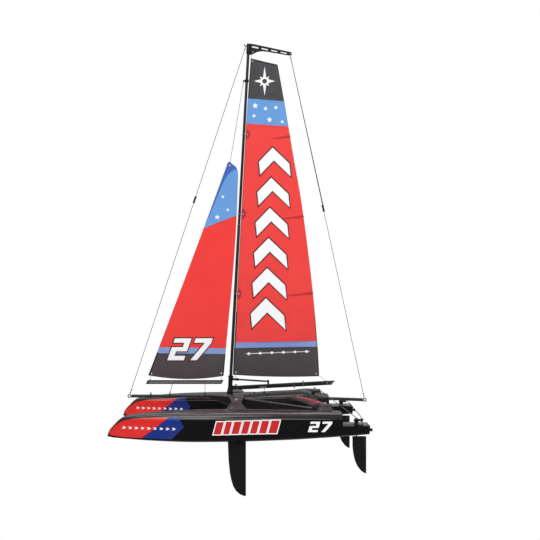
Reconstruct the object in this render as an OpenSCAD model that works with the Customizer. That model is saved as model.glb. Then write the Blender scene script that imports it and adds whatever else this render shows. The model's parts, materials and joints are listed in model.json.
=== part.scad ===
// Radio-controlled racing catamaran sailboat: two slim wave-piercing hulls, a
// central electronics pod carried on a front and a swept rear cross-beam, a
// raked mast with mainsail, balanced jib, masthead crane, forestay and backstay.
// Axes: +X forward, +Y to port, +Z up. Millimetres. Parts are drawn in a design
// frame with the mast foot over its origin; place() centres the footprint and
// sets the daggerboard tips at z = 0.

/* [Hulls] */
// Length of each hull, stem to transom
hull_length = 400; // [392:2:408]
// Full width of one hull at its widest
hull_width = 44; // [42:1:46]
// Distance between the two hull centrelines
hull_spacing = 196; // [192:1:200]
// Wall thickness of the hull mouldings
hull_wall = 1.2; // [1.0:0.1:1.5]
// Depth of the daggerboards below the keel
board_depth = 84; // [76:1:92]
// Thickness of daggerboards and rudder blades
foil_thick = 3.2; // [2.8:0.1:3.6]

/* [Rig] */
// Aft rake of the mast, degrees
mast_rake = 3.1; // [2.9:0.1:3.5]
// Outside radius of the lower mast tube
mast_r = 2.5; // [2.4:0.05:2.6]
// Outside radius of the upper mast tube
upper_r = 2.25; // [2.15:0.05:2.35]
// Height of the mast above its step
mast_height = 571; // [568:1:574]
// Length of the main boom, mast axis to its end
boom_length = 170; // [164:1:174]
// Height of the boom strips
boom_h = 6.6; // [5.6:0.2:7.0]
// Rise of the main boom towards its end, degrees
boom_rise = 3.05; // [2.5:0.05:3.5]
// Thickness of the main boom strip
boom_t = 2.4; // [2.0:0.1:3.0]
// Diameter of the stay cords
cord_d = 0.8; // [0.6:0.1:1.0]
// Thickness of the sail film
sail_t = 0.5; // [0.4:0.1:0.7]
// Depth of the mainsail's and jib's belly, as a share of the chord
sail_camber = 0.03; // [0.0:0.005:0.04]

/* [Steering] */
// Length of the tiller arm from stock to tie rod
tiller_r = 7.1; // [6.8:0.1:7.4]
// Diameter of the rudder stocks
stock_d = 2.0; // [1.8:0.1:2.2]
// Radial running clearance of turning parts
run_gap = 0.05; // [0.03:0.01:0.08]

/* [Hidden] */
$fn = 32;

half_spacing = hull_spacing / 2;
stern_x = -213;                    // transom
stern_tip = -224.553;              // aft edge of the stern eye
step_x = -171.5;                   // aft end of the raised deck
aft_deck_z = 26.4;
rudder_x = -194.3;
stock_r = stock_d / 2;
mast_foot_z = 62.4;
boom_z = 6.3;                      // boom axis, up the mast from its foot
beam_screw_y = half_spacing - 9;   // beam screws and saddles, inboard of the hull centres
front_screw_x = -10.2;
rear_screw_x = -147;

// ---- frames ----
module place()
  translate([-(stern_tip + stern_x + hull_length) / 2, 0, board_depth]) children();
module port() translate([0, half_spacing, 0]) children();
module starboard() translate([0, -half_spacing, 0]) mirror([0, 1, 0]) children();
module both_hulls() {
  port() children();
  starboard() children();
}
// Origin at the mast foot, +Z up the raked mast, -X aft.
module mast_frame() translate([0, 0, mast_foot_z]) rotate([0, -mast_rake, 0]) children();
// On the mast axis at the boom, -X along the boom.
module boom_frame()
  mast_frame() translate([0, 0, boom_z]) rotate([0, boom_rise + mast_rake, 0]) children();
// Turns +Z to point along a vector.
module aim(v) rotate([0, acos(v.z / norm(v)), atan2(v.y, v.x)]) children();

// ---- maths ----
function mix(a, b, t) = a + (b - a) * t;
function flatten(lists) = [for (a = lists) for (b = a) b];
function sum(v, i = 0) = i >= len(v) ? 0 : v[i] + sum(v, i + 1);
function centroid(ring) = [for (k = [0:2]) sum([for (p = ring) p[k]]) / len(ring)];
function signed_pow(v, e) = sign(v) * pow(abs(v), e);
// Index of the table row that starts the span holding x.
function span(x, table, i = 0) =
  (i >= len(table) - 2 || x <= table[i + 1][0]) ? i : span(x, table, i + 1);
// Smooth (cubic) reading of a table of [key, value] rows in ascending order.
function smooth(x, table) = let (
    i = span(x, table),
    before = table[max(i - 1, 0)],
    start = table[i],
    end = table[i + 1],
    after = table[min(i + 2, len(table) - 1)],
    h = end.x - start.x,
    s = (x - start.x) / h,
    slope0 = (end.y - before.y) / (end.x - before.x) * h,
    slope1 = (after.y - start.y) / (after.x - start.x) * h)
  (2*s*s*s - 3*s*s + 1) * start.y + (s*s*s - 2*s*s + s) * slope0
    + (3*s*s - 2*s*s*s) * end.y + (s*s*s - s*s) * slope1;

// ---- basic solids ----
// Faces between n rings of m points each.
function side_faces(n, m) = concat(
  [for (i = [0:n - 2]) for (j = [0:m - 1])
    [i*m + j, (i + 1)*m + (j + 1)%m, i*m + (j + 1)%m]],
  [for (i = [0:n - 2]) for (j = [0:m - 1])
    [i*m + j, (i + 1)*m + j, (i + 1)*m + (j + 1)%m]]);
// Skin over closed rings with equal point counts; the ends fan from their centroids.
module loft(rings) {
  n = len(rings);
  m = len(rings[0]);
  polyhedron(
    points = concat(flatten(rings), [centroid(rings[0]), centroid(rings[n - 1])]),
    faces = concat(side_faces(n, m),
      [for (j = [0:m - 1]) [n*m, j, (j + 1)%m]],
      [for (j = [0:m - 1]) [n*m + 1, (n - 1)*m + (j + 1)%m, (n - 1)*m + j]]));
}
// Skin over thin rings: out along one face and back along the other.
module film(rings) {
  n = len(rings);
  m = len(rings[0]);
  last = (n - 1) * m;
  steps = [0:m / 2 - 2];
  polyhedron(points = flatten(rings), faces = concat(side_faces(n, m),
    [for (j = steps) [j, j + 1, m - 1 - j]],
    [for (j = steps) [j + 1, m - 2 - j, m - 1 - j]],
    [for (j = steps) [last + j, last + m - 1 - j, last + j + 1]],
    [for (j = steps) [last + j + 1, last + m - 1 - j, last + m - 2 - j]]));
}
// Straight round bar between two points.
module bar(a, b, r) translate(a) aim(b - a) cylinder(r = r, h = norm(b - a));
module cord(a, b) bar(a, b, 0.35);     // light rigging line
module tube(outer, inner, h) difference() {
  cylinder(r = outer, h = h);
  translate([0, 0, -1]) cylinder(r = inner, h = h + 2);
}
module box(at, size) translate(at) cube(size);
module post(at, r, h) translate(at) cylinder(r = r, h = h);             // along +Z
module x_rod(at, r, h) translate(at) rotate([0, 90, 0]) cylinder(r = r, h = h);
// Cylinder along Y, centred on y = 0, at [x, z].
module cross_pin(at, r, h = 10)
  translate([at.x, h / 2, at.y]) rotate([90, 0, 0]) cylinder(r = r, h = h);
// Upright plate centred on y = 0, from an outline in [x, z].
module side_plate(outline, t)
  rotate([90, 0, 0]) translate([0, 0, -t / 2]) linear_extrude(t) polygon(outline);

// ---- hull lines: a station u runs from 0 at the transom to 1 at the stem ----
// [station, keel height]
keel_table = [[0, 11.7], [0.105, 8.4], [0.187, 6.1], [0.278, 3.9], [0.37, 2.3], [0.462, 1.0],
  [0.578, 0.1], [0.7, 0], [0.79, 1.1], [0.853, 2.3], [0.915, 4.0], [0.977, 6.0], [1, 7.6]];
// [station, crown height]
crown_table = [[0, 45.2], [0.104, 46.4], [0.233, 47.9], [0.382, 48.8], [0.532, 48.8],
  [0.633, 48.4], [0.738, 47.0], [0.808, 45.3], [0.873, 43.2], [0.907, 41.3], [0.932, 39.0],
  [0.948, 36.0], [0.964, 30.4], [0.979, 24.0], [0.987, 20.5], [0.9945, 16.5], [0.998, 13.2],
  [1, 9.6]];
// [station, share of the full width]
width_table = [[0, 0.80], [0.105, 0.89], [0.233, 0.964], [0.382, 1], [0.532, 1],
  [0.633, 0.964], [0.733, 0.855], [0.808, 0.727], [0.883, 0.545], [0.932, 0.373],
  [0.963, 0.245], [0.982, 0.145], [0.9945, 0.073], [1, 0.034]];
step_u = (step_x - stern_x) / hull_length;
hull_stations = [0, 0.05, step_u, 0.15, 0.22, 0.3, 0.38, 0.46, 0.54, 0.62, 0.7, 0.77, 0.83,
  0.88, 0.92, 0.945, 0.965, 0.98, 0.99, 0.996, 1];

function stations(from, to) = [for (u = hull_stations) if (u >= from && u < to) u];
function keel_z(u) = smooth(u, keel_table);
function crown_z(u) = smooth(u, crown_table);
function half_width(u) = hull_width / 2 * smooth(u, width_table);
function height_share(u, share) = keel_z(u) + share * (crown_z(u) - keel_z(u));
function knuckle_z(u) = height_share(u, 0.715);
function crease_z(u) = height_share(u, 0.873);
// Half section [y, z] from keel to crease, inset by t, carried up by rise.
function half_tub(u, t, rise) = let (
    b = max(half_width(u) - t, 0.25),
    keel = keel_z(u) + t,
    knuckle = knuckle_z(u),
    crease = crease_z(u),
    flat = 0.18 * b)
  concat(
    [for (a = [0:15:90]) [flat + (b - flat) * pow(sin(a), 0.75),
      knuckle - (knuckle - keel) * pow(cos(a), 0.85)]],
    [[b * 0.945, mix(knuckle, crease, 0.55)], [b * 0.80, crease]],
    rise > 0 ? [[b * 0.80, crease + rise]] : []);
// Half section [y, z] from crease almost to crown; lift moves only the crease edge.
function half_crown(u, t, lift) = let (
    b = half_width(u) - t,
    crease = crease_z(u),
    crown = crown_z(u) - t)
  [[b * 0.80, crease + lift], [b * 0.69, mix(crease, crown, 0.45)],
    [b * 0.50, mix(crease, crown, 0.76)], [b * 0.26, mix(crease, crown, 0.945)]];
// Ring at station u from a half section, optional [y, z] middle points, and its mirror.
function mirrored_ring(u, half, middle = []) = let (x = stern_x + hull_length * u)
  concat([for (p = half) [x, p.x, p.y]], [for (p = middle) [x, p.x, p.y]],
    [for (i = [len(half) - 1:-1:0]) [x, -half[i].x, half[i].y]]);
function tub_ring(u, t, rise) = mirrored_ring(u, half_tub(u, t, rise));
function crown_ring(u, t, lift) =
  mirrored_ring(u, half_crown(u, t, lift), [[0, crown_z(u) - t]]);

// ---- hulls ----
board_lead = 2.8;                  // leading and trailing edge of the daggerboard
board_trail = -25.1;
board_chord = board_lead - board_trail;
drain_z = 17.6;
aft_cavity_z = 15.5;

module board_slot(h)
  box([board_trail - 0.2, -foil_thick / 2 - 0.15, -5], [board_chord + 0.4, foil_thick + 0.3, h]);

module hull_tub() color("#141416") {
  difference() {
    loft([for (u = hull_stations) tub_ring(u, 0, 0)]);
    // cavity: open upwards under the raised deck, low under the aft deck
    loft([for (u = stations(step_u + 0.001, 0.985))
      tub_ring(u + (u < step_u + 0.05 ? 0.004 : 0), hull_wall, 4)]);
    box([stern_x + 2, -13.6, aft_cavity_z],
      [step_x - stern_x + 22, 27.2, aft_deck_z - aft_cavity_z - hull_wall]);
    box([stern_x - 20, -40, aft_deck_z], [step_x - stern_x + 20, 80, 60]);
    board_slot(20);
    post([rudder_x, 0, 0], stock_r + 1.05, 50);
    x_rod([stern_x - 1, 0, drain_z], 1.45, 6);
  }
  // daggerboard trunk
  difference() {
    box([board_trail - 1.8, -foil_thick / 2 - 1.6, 1.7], [board_chord + 3.6, foil_thick + 3.2, 28]);
    board_slot(60);
  }
  // flat rest pad under the keel
  box([22, -3.5, -0.6], [44, 7, 2.2]);
}
module hull_deck() color("#1c1c1f") difference() {
  loft([for (u = stations(step_u - 0.001, 0.997)) crown_ring(u, 0, 0.05)]);
  loft([for (u = stations(step_u - 0.001, 0.93))
    crown_ring(u + (u < step_u + 0.01 ? 0.004 : 0), hull_wall, -1)]);
  for (x = [front_screw_x, rear_screw_x]) post([x, -9, 40], 1.25, 20);
}
module drain_plug() color("#0d0d0e")
  translate([stern_x, 0, drain_z]) rotate([0, -90, 0]) {
    post([0, 0, -3], 1.4, 3.1);
    post([0, 0, 0.05], 2.5, 1.2);
    post([0, 0, 1], 1.7, 2.4);
    post([0, 0, 3.2], 2.4, 2.6);
  }
module port_hull() port() hull_tub();
module port_deck() port() hull_deck();
module starboard_hull() starboard() hull_tub();
module starboard_deck() starboard() hull_deck();
module drain_plugs() both_hulls() drain_plug();

// ---- foils ----
// [share of chord from the leading edge, share of thickness]
foil_profile = [[0, 0], [0.012, 0.3], [0.05, 0.58], [0.12, 0.8], [0.25, 0.97], [0.4, 1],
  [0.6, 0.9], [0.8, 0.62], [0.95, 0.3], [1, 0]];
board_top = 28;
// [x, z], down the leading edge and up the trailing edge
board_outline = [[board_lead, board_top], [board_lead, -2], [1.6, -board_depth * 0.35],
  [-0.4, -board_depth * 0.58], [-2.4, -board_depth * 0.70], [-5.6, -board_depth * 0.82],
  [-10, -board_depth * 0.905], [-16, -board_depth * 0.965], [-21.8, -board_depth * 0.996],
  [-24.3, -board_depth], [board_trail, -board_depth + 1.2], [board_trail, board_top]];
blade_lead = -188.1;
blade_trail = -209.4;
blade_outline = [[blade_lead, 7.8], [-188.3, -8], [-189.8, -20], [-192.2, -30],
  [-195.6, -37.4], [-199.6, -43], [-204, -47], [-207.4, -48.8], [-209, -49],
  [blade_trail, -48.2], [blade_trail, 7.8]];

module foil_section(lead, trail) {
  chord = lead - trail;
  half_t = foil_thick / 2;
  polygon(concat(
    [for (row = foil_profile) [lead - chord * row.x, half_t * row.y]],
    [for (i = [len(foil_profile) - 2:-1:1])
      [lead - chord * foil_profile[i].x, -half_t * foil_profile[i].y]]));
}
module daggerboard() color("#17171a") intersection() {
  translate([0, 0, -board_depth]) linear_extrude(board_depth + board_top)
    foil_section(board_lead, board_trail);
  side_plate(board_outline, 10);
}
module rudder_blade() color("#17171a") difference() {
  intersection() {
    translate([0, 0, -60]) linear_extrude(80) foil_section(blade_lead, blade_trail);
    side_plate(blade_outline, 10);
  }
  post([rudder_x, 0, -22], stock_r + 0.02, 40);
}
module rudder_stock() color("silver") post([rudder_x, 0, -21.5], stock_r, 57.5);
module rudder_tube() color("#b08d57") translate([rudder_x, 0, 0]) {
  translate([0, 0, 9.4]) tube(stock_r + 1, stock_r + run_gap, 17.6);
  translate([0, 0, aft_deck_z + 0.05]) tube(stock_r + 2.4, stock_r + run_gap, 1.0);
}
module port_daggerboard() port() daggerboard();
module starboard_daggerboard() starboard() daggerboard();
module port_rudder_blade() port() rudder_blade();
module port_rudder_stock() port() rudder_stock();
module starboard_rudder_blade() starboard() rudder_blade();
module starboard_rudder_stock() starboard() rudder_stock();
module rudder_tubes() both_hulls() rudder_tube();

// ---- steering linkage ----
arm_z = 31;                        // underside of the tiller arms
pin_r = 0.55;                      // linkage pins
pin_hole_r = pin_r + 0.08;
tie_rod_z = 37.7;
tie_reach = [-tiller_r, 0];        // [x, y] from stock to tie rod pin
push_reach = [-9.7, -5.1];         // [x, y] from stock, or servo axis, to pushrod pin
servo_axis = [-136, 11];           // rudder servo [x, y]
pushrod_top = [servo_axis.x + push_reach.x, servo_axis.y + push_reach.y, 67.1];
pushrod_foot = [rudder_x + push_reach.x, half_spacing + push_reach.y, 28.4];

module tiller(reaches) color("#101012") difference() {
  union() {
    post([rudder_x, 0, 28.2], 3.2, 6.6);
    for (reach = reaches) hull() {
      post([rudder_x, 0, arm_z], 2.6, 2.5);
      post([rudder_x + reach.x, reach.y, arm_z], 1.9, 2.5);
    }
    x_rod([rudder_x + 1, 0, 32], 1.1, 3.4);     // stub on the forward side
  }
  post([rudder_x, 0, 20], stock_r + 0.02, 20);
  for (reach = reaches) post([rudder_x + reach.x, reach.y, 20], pin_hole_r, 20);
}
module port_tiller() port() tiller([tie_reach, push_reach]);
module starboard_tiller() starboard() tiller([tie_reach]);
module tie_rod() color("silver") {
  x = rudder_x - tiller_r;
  bar([x, -half_spacing - 0.8, tie_rod_z], [x, half_spacing + 0.8, tie_rod_z], 0.6);
  for (side = [-1, 1]) post([x, side * half_spacing, 30.6], pin_r, 7.1);
}
module rudder_pushrod() color("silver") {
  bar(pushrod_top, pushrod_foot, 0.6);
  post(pushrod_top - [0, 0, 4], pin_r, 4);
  post(pushrod_foot, pin_r, 6.4);
  for (end = [pushrod_top, pushrod_foot]) translate(end) sphere(r = 0.85);
}

// ---- electronics pod lines ----
// [x, half width]
pod_width = [[-160, 7], [-152, 13], [-142, 20.5], [-130, 24], [-118, 25], [-60, 25],
  [-36, 24.6], [-26, 22], [-14, 17], [0, 12], [14, 8.5], [26, 5.6], [34, 4.2]];
// [x, top height]
pod_top = [[-160, 55.1], [-152, 56.2], [-142, 59], [-130, 62.3], [-120, 64.4], [-112, 64.2],
  [-60, 61.6], [-27, 60], [-14, 60.2], [0, 60], [14, 59.6], [26, 59.2], [34, 58.9]];
// [x, bottom height]
pod_bottom = [[-160, 46.4], [-152, 39], [-142, 32.6], [-130, 30.4], [-118, 30], [-60, 30],
  [-36, 30.6], [-26, 32], [-14, 35.5], [0, 40], [14, 45.5], [26, 50], [34, 52.4]];
pod_stations = [-160, -156, -152, -147, -142, -136, -130, -125, -120, -112, -90, -60, -44,
  -36, -26, -14, 0, 14, 26, 34];
pod_inner = concat([for (x = pod_stations) if (x >= -147 && x <= -26) x], [-16]);

// Rounded-square ring of the pod at x, shrunk by inset.
function pod_ring(x, inset) = let (
    w = lookup(x, pod_width) - inset,
    top = lookup(x, pod_top) - inset,
    bottom = lookup(x, pod_bottom) + inset)
  [for (i = [0:23]) let (a = 15 * i + 7.5) [x, w * signed_pow(cos(a), 0.5),
    (top + bottom) / 2 + (top - bottom) / 2 * signed_pow(sin(a), 0.5)]];
module pod_loft(xs, inset) loft([for (x = xs) pod_ring(x, inset)]);

// ---- cross-beams ----
// [y, centre x, centre z, chord, height]
front_rows = [[0, -11, 57.8, 25, 6.2], [30, -11, 58.0, 24, 6.2], [50, -11, 58.4, 21, 6.2],
  [70, -11, 58.8, 18, 6.2], [84, -11, 58.9, 16.8, 6.4], [89, -10.6, 57.8, 15.6, 7.4]];
// rises from the pod side, runs out and aft to the hull
rear_rows = [[16, -106, 53.6, 30, 8.6], [30, -109, 56.0, 27, 8.2], [50, -119, 56.6, 25, 7.4],
  [70, -131, 55.2, 25, 7.2], [84, -141, 52.4, 27, 8.4]];

function beam_ring(row, side) = [for (i = [0:15]) let (a = 360 * i / 16)
  [row[1] + row[3] / 2 * cos(a), side * row[0], row[2] - row[4] / 2 * sin(a)]];
function port_rings(rows) = [for (row = rows) beam_ring(row, 1)];
// Outermost first, so that rings always run from starboard to port.
function starboard_rings(rows, innermost = 0) =
  [for (i = [len(rows) - 1:-1:innermost]) beam_ring(rows[i], -1)];

// Flared foot over a hull deck.
module saddle(x, top_length, foot_length, top_z, foot_z, y)
  loft([for (s = [0:0.2:1]) let (
      z = mix(foot_z, top_z, s),
      flare = pow(1 - s, 1.7),
      half_length = mix(top_length, foot_length, flare) / 2,
      half_breadth = mix(9, 17, flare) / 2)
    [for (i = [0:19]) let (a = 18 * i) [x + half_length * signed_pow(cos(a), 0.7),
      y + half_breadth * signed_pow(sin(a), 0.7), z]]]);
// Room for the hull crowns, the pod and the screws.
module beam_clearance(screw_x) {
  for (side = [-1, 1]) {
    scale([1, side, 1]) port()
      loft([for (u = [0.05, step_u, 0.15, 0.22, 0.3, 0.38, 0.46, 0.54, 0.62])
        crown_ring(u, -0.06, -12)]);
    post([screw_x, side * beam_screw_y, 40], 1.3, 30);
  }
  pod_loft(pod_stations, -0.06);
}
module front_beam() color("#19191c") difference() {
  union() {
    loft(concat(starboard_rings(front_rows, 1), port_rings(front_rows)));
    for (side = [-1, 1]) saddle(front_screw_x, 16.2, 42, 60.2, 46.2, side * beam_screw_y);
  }
  beam_clearance(front_screw_x);
  box([-40, -14, 30], [80, 28, 60]);
}
module rear_beam() color("#19191c") difference() {
  union() {
    loft(starboard_rings(rear_rows));
    loft(port_rings(rear_rows));
    for (side = [-1, 1]) saddle(rear_screw_x, 20, 30, 55, 44.6, side * beam_screw_y);
  }
  beam_clearance(rear_screw_x);
}
module diagonal_struts() color("#3a3a3e") for (side = [-1, 1])
  bar([-24, side * 23.2, 54.6], [-127, side * 88.2, 49.4], 1.15);

// ---- electronics pod ----
tube_r = 2.55;                     // bowsprit and stern tubes
tube_bore_r = 1.6;
bowsprit_x = 20;
bowsprit_z = 55.6;
bowsprit_length = 141;
stern_tube_length = 69;
lid_z = 56.6;                      // underside of the hatch
rim_z = lid_z - 0.5;
ledge_z = 52.6;
opening_x = -129;                  // aft edge of the hatch opening
opening_length = 102;
lid_screws = [[-33, 12, 57.9], [-33, -12, 57.9], [-125.6, 15, 60.4],
  [-125.6, -15, 60.4]];            // x, y, head seat
fairlead_x = [-56.5, -40];         // sheet fairleads in the hatch
// [x, y] of the gasket's port edge, from front to back
gasket_edge = [[-29, 20.6], [-37, 23.2], [-60, 23.9], [-118, 23.9], [-127.2, 22.6]];

// +Z runs aft along the stern tube.
module stern_frame() translate([-148, 0, 52]) rotate([0, -92, 0]) children();

module pod_tub() color("#19191c") difference() {
  union() {
    difference() {
      pod_loft(pod_stations, 0);
      pod_loft(concat([-150], pod_inner), 1.6);
      box([opening_x, -40, rim_z], [opening_length, 80, 20]);
    }
    // ledges across the front and back of the opening
    intersection() {
      pod_loft(pod_inner, 1.5);
      union() {
        box([-129.6, -40, ledge_z], [5.8, 80, rim_z - ledge_z]);
        box([-30.4, -40, ledge_z], [3.4, 80, rim_z - ledge_z]);
      }
    }
  }
  mast_frame() post([0, 0, -15], 5.06, 40);
  x_rod([12, 0, bowsprit_z], tube_r + 0.05, 30);
  stern_frame() cylinder(r = tube_r + 0.05, h = 30);
  post([servo_axis.x, servo_axis.y, 50], 3.1, 20);
  // side slot for the power switch
  box([-72, -30, 46], [13.2, 12, 6.2]);
  for (p = lid_screws) post([p.x, p.y, 45], 0.75, 15);
}
module pod_hatch() color("#232327") difference() {
  intersection() {
    pod_loft([for (x = pod_stations) if (x < -20 && x > -140) x], 0);
    box([opening_x + 0.2, -40, lid_z + 0.02], [opening_length - 0.4, 80, 20]);
  }
  for (p = lid_screws) {
    post([p.x, p.y, 45], 1.15, 30);
    post(p, 2.0, 30);
  }
  for (x = fairlead_x) post([x, 0, 40], 1.25, 40);
}
module gasket_shape(inset) {
  edge = [for (p = gasket_edge) [p.x - inset * sign(p.x + 78), p.y - inset]];
  polygon(concat(edge, [for (i = [len(edge) - 1:-1:0]) [edge[i].x, -edge[i].y]]));
}
module hatch_gasket() color("#3c3c3c") translate([0, 0, lid_z - 0.48]) difference() {
  linear_extrude(0.46) gasket_shape(0);
  translate([0, 0, -1]) linear_extrude(3) gasket_shape(1.1);
  for (p = lid_screws) post([p.x, p.y, -3], 1.2, 15);
}
// Hex socket cap screw, head seat at z = 0.
module cap_screw(length, r, head_r, head_h) {
  difference() {
    cylinder(r = head_r, h = head_h);
    translate([0, 0, 0.5]) cylinder(r = 0.9, h = 3, $fn = 6);
  }
  post([0, 0, -length], r, length);
}
module hatch_screws() color("silver") for (p = lid_screws)
  translate([p.x, p.y, p.z + 0.02])
    cap_screw(length = p.z - 53.2, r = 0.72, head_r = 1.8, head_h = 1.2);
module beam_screws() color("silver")
  for (side = [-1, 1])
    for (row = [[front_screw_x, 62.2, 16.1], [rear_screw_x, 56.5, 11.8]])  // x, seat, length
      translate([row[0], side * beam_screw_y, row[1]])
        cap_screw(length = row[2], r = 1.2, head_r = 2.1, head_h = 1.5);

// ---- tubes and end fittings ----
module bowsprit_tube() color("#2b2b2e")
  translate([bowsprit_x, 0, bowsprit_z]) rotate([0, 90, 0])
    tube(tube_r, tube_bore_r, bowsprit_length);
module stern_tube() color("#2b2b2e")
  stern_frame() translate([0, 0, 0.5]) tube(tube_r, tube_bore_r, stern_tube_length);
// Plug, cap and eye: +Z along the tube, eye across it.
module end_eye() {
  eye = [0, 4.1];
  post([0, 0, -10], 1.55, 10.2);
  difference() {
    union() {
      post([0, 0, 0.05], tube_r, 1.2);
      hull() {
        post([0, 0, 1], 1.5, 0.5);
        cross_pin(eye, 1.2, 3);
      }
      cross_pin(eye, 3.0, 3);
    }
    cross_pin(eye, 1.6, 20);
  }
}
module bowsprit_eye() color("#d8d8da")
  translate([bowsprit_x + bowsprit_length, 0, bowsprit_z]) rotate([0, 90, 0]) end_eye();
module stern_eye() color("#d8d8da")
  stern_frame() translate([0, 0, stern_tube_length + 0.5]) end_eye();

// ---- mast ----
joint_h = 275;                     // joint of the two mast tubes
mast_bore_r = 1.5;
hoist_h = 511.5;                   // jib hoist ring
// [x, z] of the masthead crane
crane_outline = [[-28.6, 634.6], [-40, 633.2], [-99.4, 620.4], [-101.6, 618.8],
  [-101.4, 616], [-99, 614.8], [-80, 617.9], [-62, 621.1], [-52, 622.2], [-44, 620.6],
  [-36.5, 616.4], [-30.5, 616.2]];

module mast_step() color("#101012") mast_frame() difference() {
  union() {
    post([0, 0, -14], 5, 15.5);
    translate([0, 0, 1.5]) cylinder(r1 = 5, r2 = 3.6, h = 1.4);
  }
  post([0, 0, -12.6], mast_r + 0.04, 30);
}
module lower_mast() color("#161618")
  mast_frame() translate([0, 0, -12.5]) tube(mast_r, mast_bore_r, joint_h - 0.5 + 12.5);
module upper_mast() color("#161618")
  mast_frame() translate([0, 0, joint_h + 0.5])
    tube(upper_r, mast_bore_r, mast_height - joint_h - 0.5);
module mast_ferrule() color("silver") mast_frame() {
  post([0, 0, joint_h - 22], 1.46, 44);
  post([0, 0, joint_h - 0.45], mast_r + 0.15, 0.9);
}
module masthead_crane() color("#1b1b1e") {
  difference() {
    union() {
      mast_frame() post([0, 0, mast_height - 15], 3.3, 16.2);
      side_plate(crane_outline, 2.6);
    }
    mast_frame() post([0, 0, mast_height - 40], upper_r + 0.04, 40.2);
    // row of slots, narrowing aft
    for (i = [0:3]) translate([-41.5 - 15.6 * i, 0, 628.3 - 3.02 * i]) rotate([0, -12, 0])
      hull() for (end = [-1, 1]) cross_pin([end * 4.4, 0], 1.3 - 0.1 * i, $fn = 20);
    cross_pin([-37.6, 620.6], 0.9);
    cross_pin([-98.6, 617.6], 0.8);
  }
  // forward hook for the forestay
  difference() {
    translate([-25.9, 0, 632.3]) rotate([90, 0, 0]) translate([0, 0, -0.8]) difference() {
      union() {
        box([-2.3, -2.8, 0], [2, 2, 1.6]);
        cylinder(r = 2.8, h = 1.6);
      }
      post([0, 0, -1], 1.6, 4);
      box([-1.6, 0, -1], [3.2, 6, 4]);
    }
    mast_frame() post([0, 0, mast_height - 40], upper_r + 0.06, 60);
  }
}
module jib_hoist_ring() color("#101012") mast_frame() difference() {
  eye = [5.2, hoist_h - 0.2];
  union() {
    post([0, 0, hoist_h - 2], 3.4, 4);
    box([0, -1, hoist_h - 1.6], [5.2, 2, 2.8]);
    cross_pin(eye, 1.4, 2);
  }
  post([0, 0, hoist_h - 10], upper_r + 0.04, 20);
  cross_pin(eye, 0.6);
}

// ---- standing rigging ----
forestay_top = [-25.85, 0, 628.9];
forestay_foot = [164.2, 0, 59.1];
backstay_top = [-99.0, 0, 614.8];
backstay_foot = [-220.4, 0, 53.1];

// Tension slider with the cord a-b running through it, centred at height z.
module bowsie(a, b, z) color("#0d0d0e") {
  v = b - a;
  translate(a + v * ((z - a.z) / v.z)) aim(v) translate([0, 0, -5.6]) difference() {
    union() {
      cylinder(r = 1.6, h = 11.2);
      for (end = [0, 9.7]) post([0, 0, end], 2.1, 1.5);
    }
    post([0, 0, -1], cord_d / 2 + 0.06, 14);
  }
}
module forestay() color("#9a9a9a") bar(forestay_foot, forestay_top, cord_d / 2);
module backstay() color("#6e6e6e") bar(backstay_foot, backstay_top, cord_d / 2);
module forestay_bowsie() bowsie(forestay_foot, forestay_top, 378);
module backstay_bowsie() bowsie(backstay_foot, backstay_top, 364);

// ---- running gear in the pod ----
cell_y = 5.5;                      // cell columns either side of the centreline
cell_z = 39.6;                     // axis of the lower cells
sail_servo_axis = [-93, -2];
antenna_x = -114.6;
jib_pivot_x = 98.4;
jib_sheet_x = 40.9;

module battery_tray() color("#222222") difference() {
  box([-83, -12.4, 33.2], [49.6, 24.8, 13]);
  box([-81.2, -10.9, cell_z], [46, 21.8, 10]);
  for (y = [-cell_y, cell_y]) x_rod([-81.2, y, cell_z], 5.35, 46);
}
module battery_cells() color("#c8a43c")
  for (y = [-cell_y, cell_y]) for (z = [cell_z, 50.1])
    translate([-80.7, y, z]) rotate([0, 90, 0]) {
      cylinder(r = 5.2, h = 43.6);
      post([0, 0, 43.6], 1.9, 0.9);
    }
module receiver() color("#20455f") {
  corner = [antenna_x, -15, 38];
  box([-117, 8.5, 35.4], [30, 11.5, 10]);
  box([-112, 10.5, 45], [14, 8, 2.4]);
  // antenna lead
  bar([antenna_x, 9, 38], corner, 0.5);
  bar(corner, [antenna_x, -15, 53], 0.5);
  translate(corner) sphere(r = 0.5);
}
module sail_servo() color("#1e4f8a")
  translate([sail_servo_axis.x, sail_servo_axis.y, 46]) {
    box([-17.6, -6.1, -13.8], [23, 12.2, 13.8]);
    cylinder(r = 5.6, h = 2.6);
    post([0, 0, 2.6], 1.6, 2.2);
  }
module sail_servo_arm() color("#efefef")
  translate([sail_servo_axis.x, sail_servo_axis.y, 48.75]) difference() {
    hull() {
      cylinder(r = 3.4, h = 2.6);
      post([-17, 0, 0], 1.8, 2.6);
    }
    post([0, 0, -1], 1.66, 3.4);
    for (x = [-17, -12.5]) post([x, 0, -1], 0.7, 6);
  }
module rudder_servo() color("#1e4f8a") translate([servo_axis.x, servo_axis.y, 51.6]) {
  box([-5.2, -6.1, -14], [23, 12.2, 14]);
  cylinder(r = 2.9, h = 10.3);
  cylinder(r = 1.6, h = 12.4);
}
module rudder_servo_horn() color("#efefef")
  translate([servo_axis.x, servo_axis.y, 62]) difference() {
    union() {
      cylinder(r = 3.1, h = 3.2);
      hull() {
        post([0, 0, 1.6], 2.4, 1.6);
        post([push_reach.x, push_reach.y, 1.6], 1.7, 1.6);
      }
    }
    post([0, 0, -1], 1.66, 3.4);
    post([push_reach.x, push_reach.y, -1], pin_hole_r, 8);
  }
module switch_body() color("#111111") difference() {
  box([-71.8, -25.4, 46.2], [12.8, 5.4, 5.8]);
  box([-69.6, -26, 47.6], [8.4, 3.4, 3.0]);
}
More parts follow.
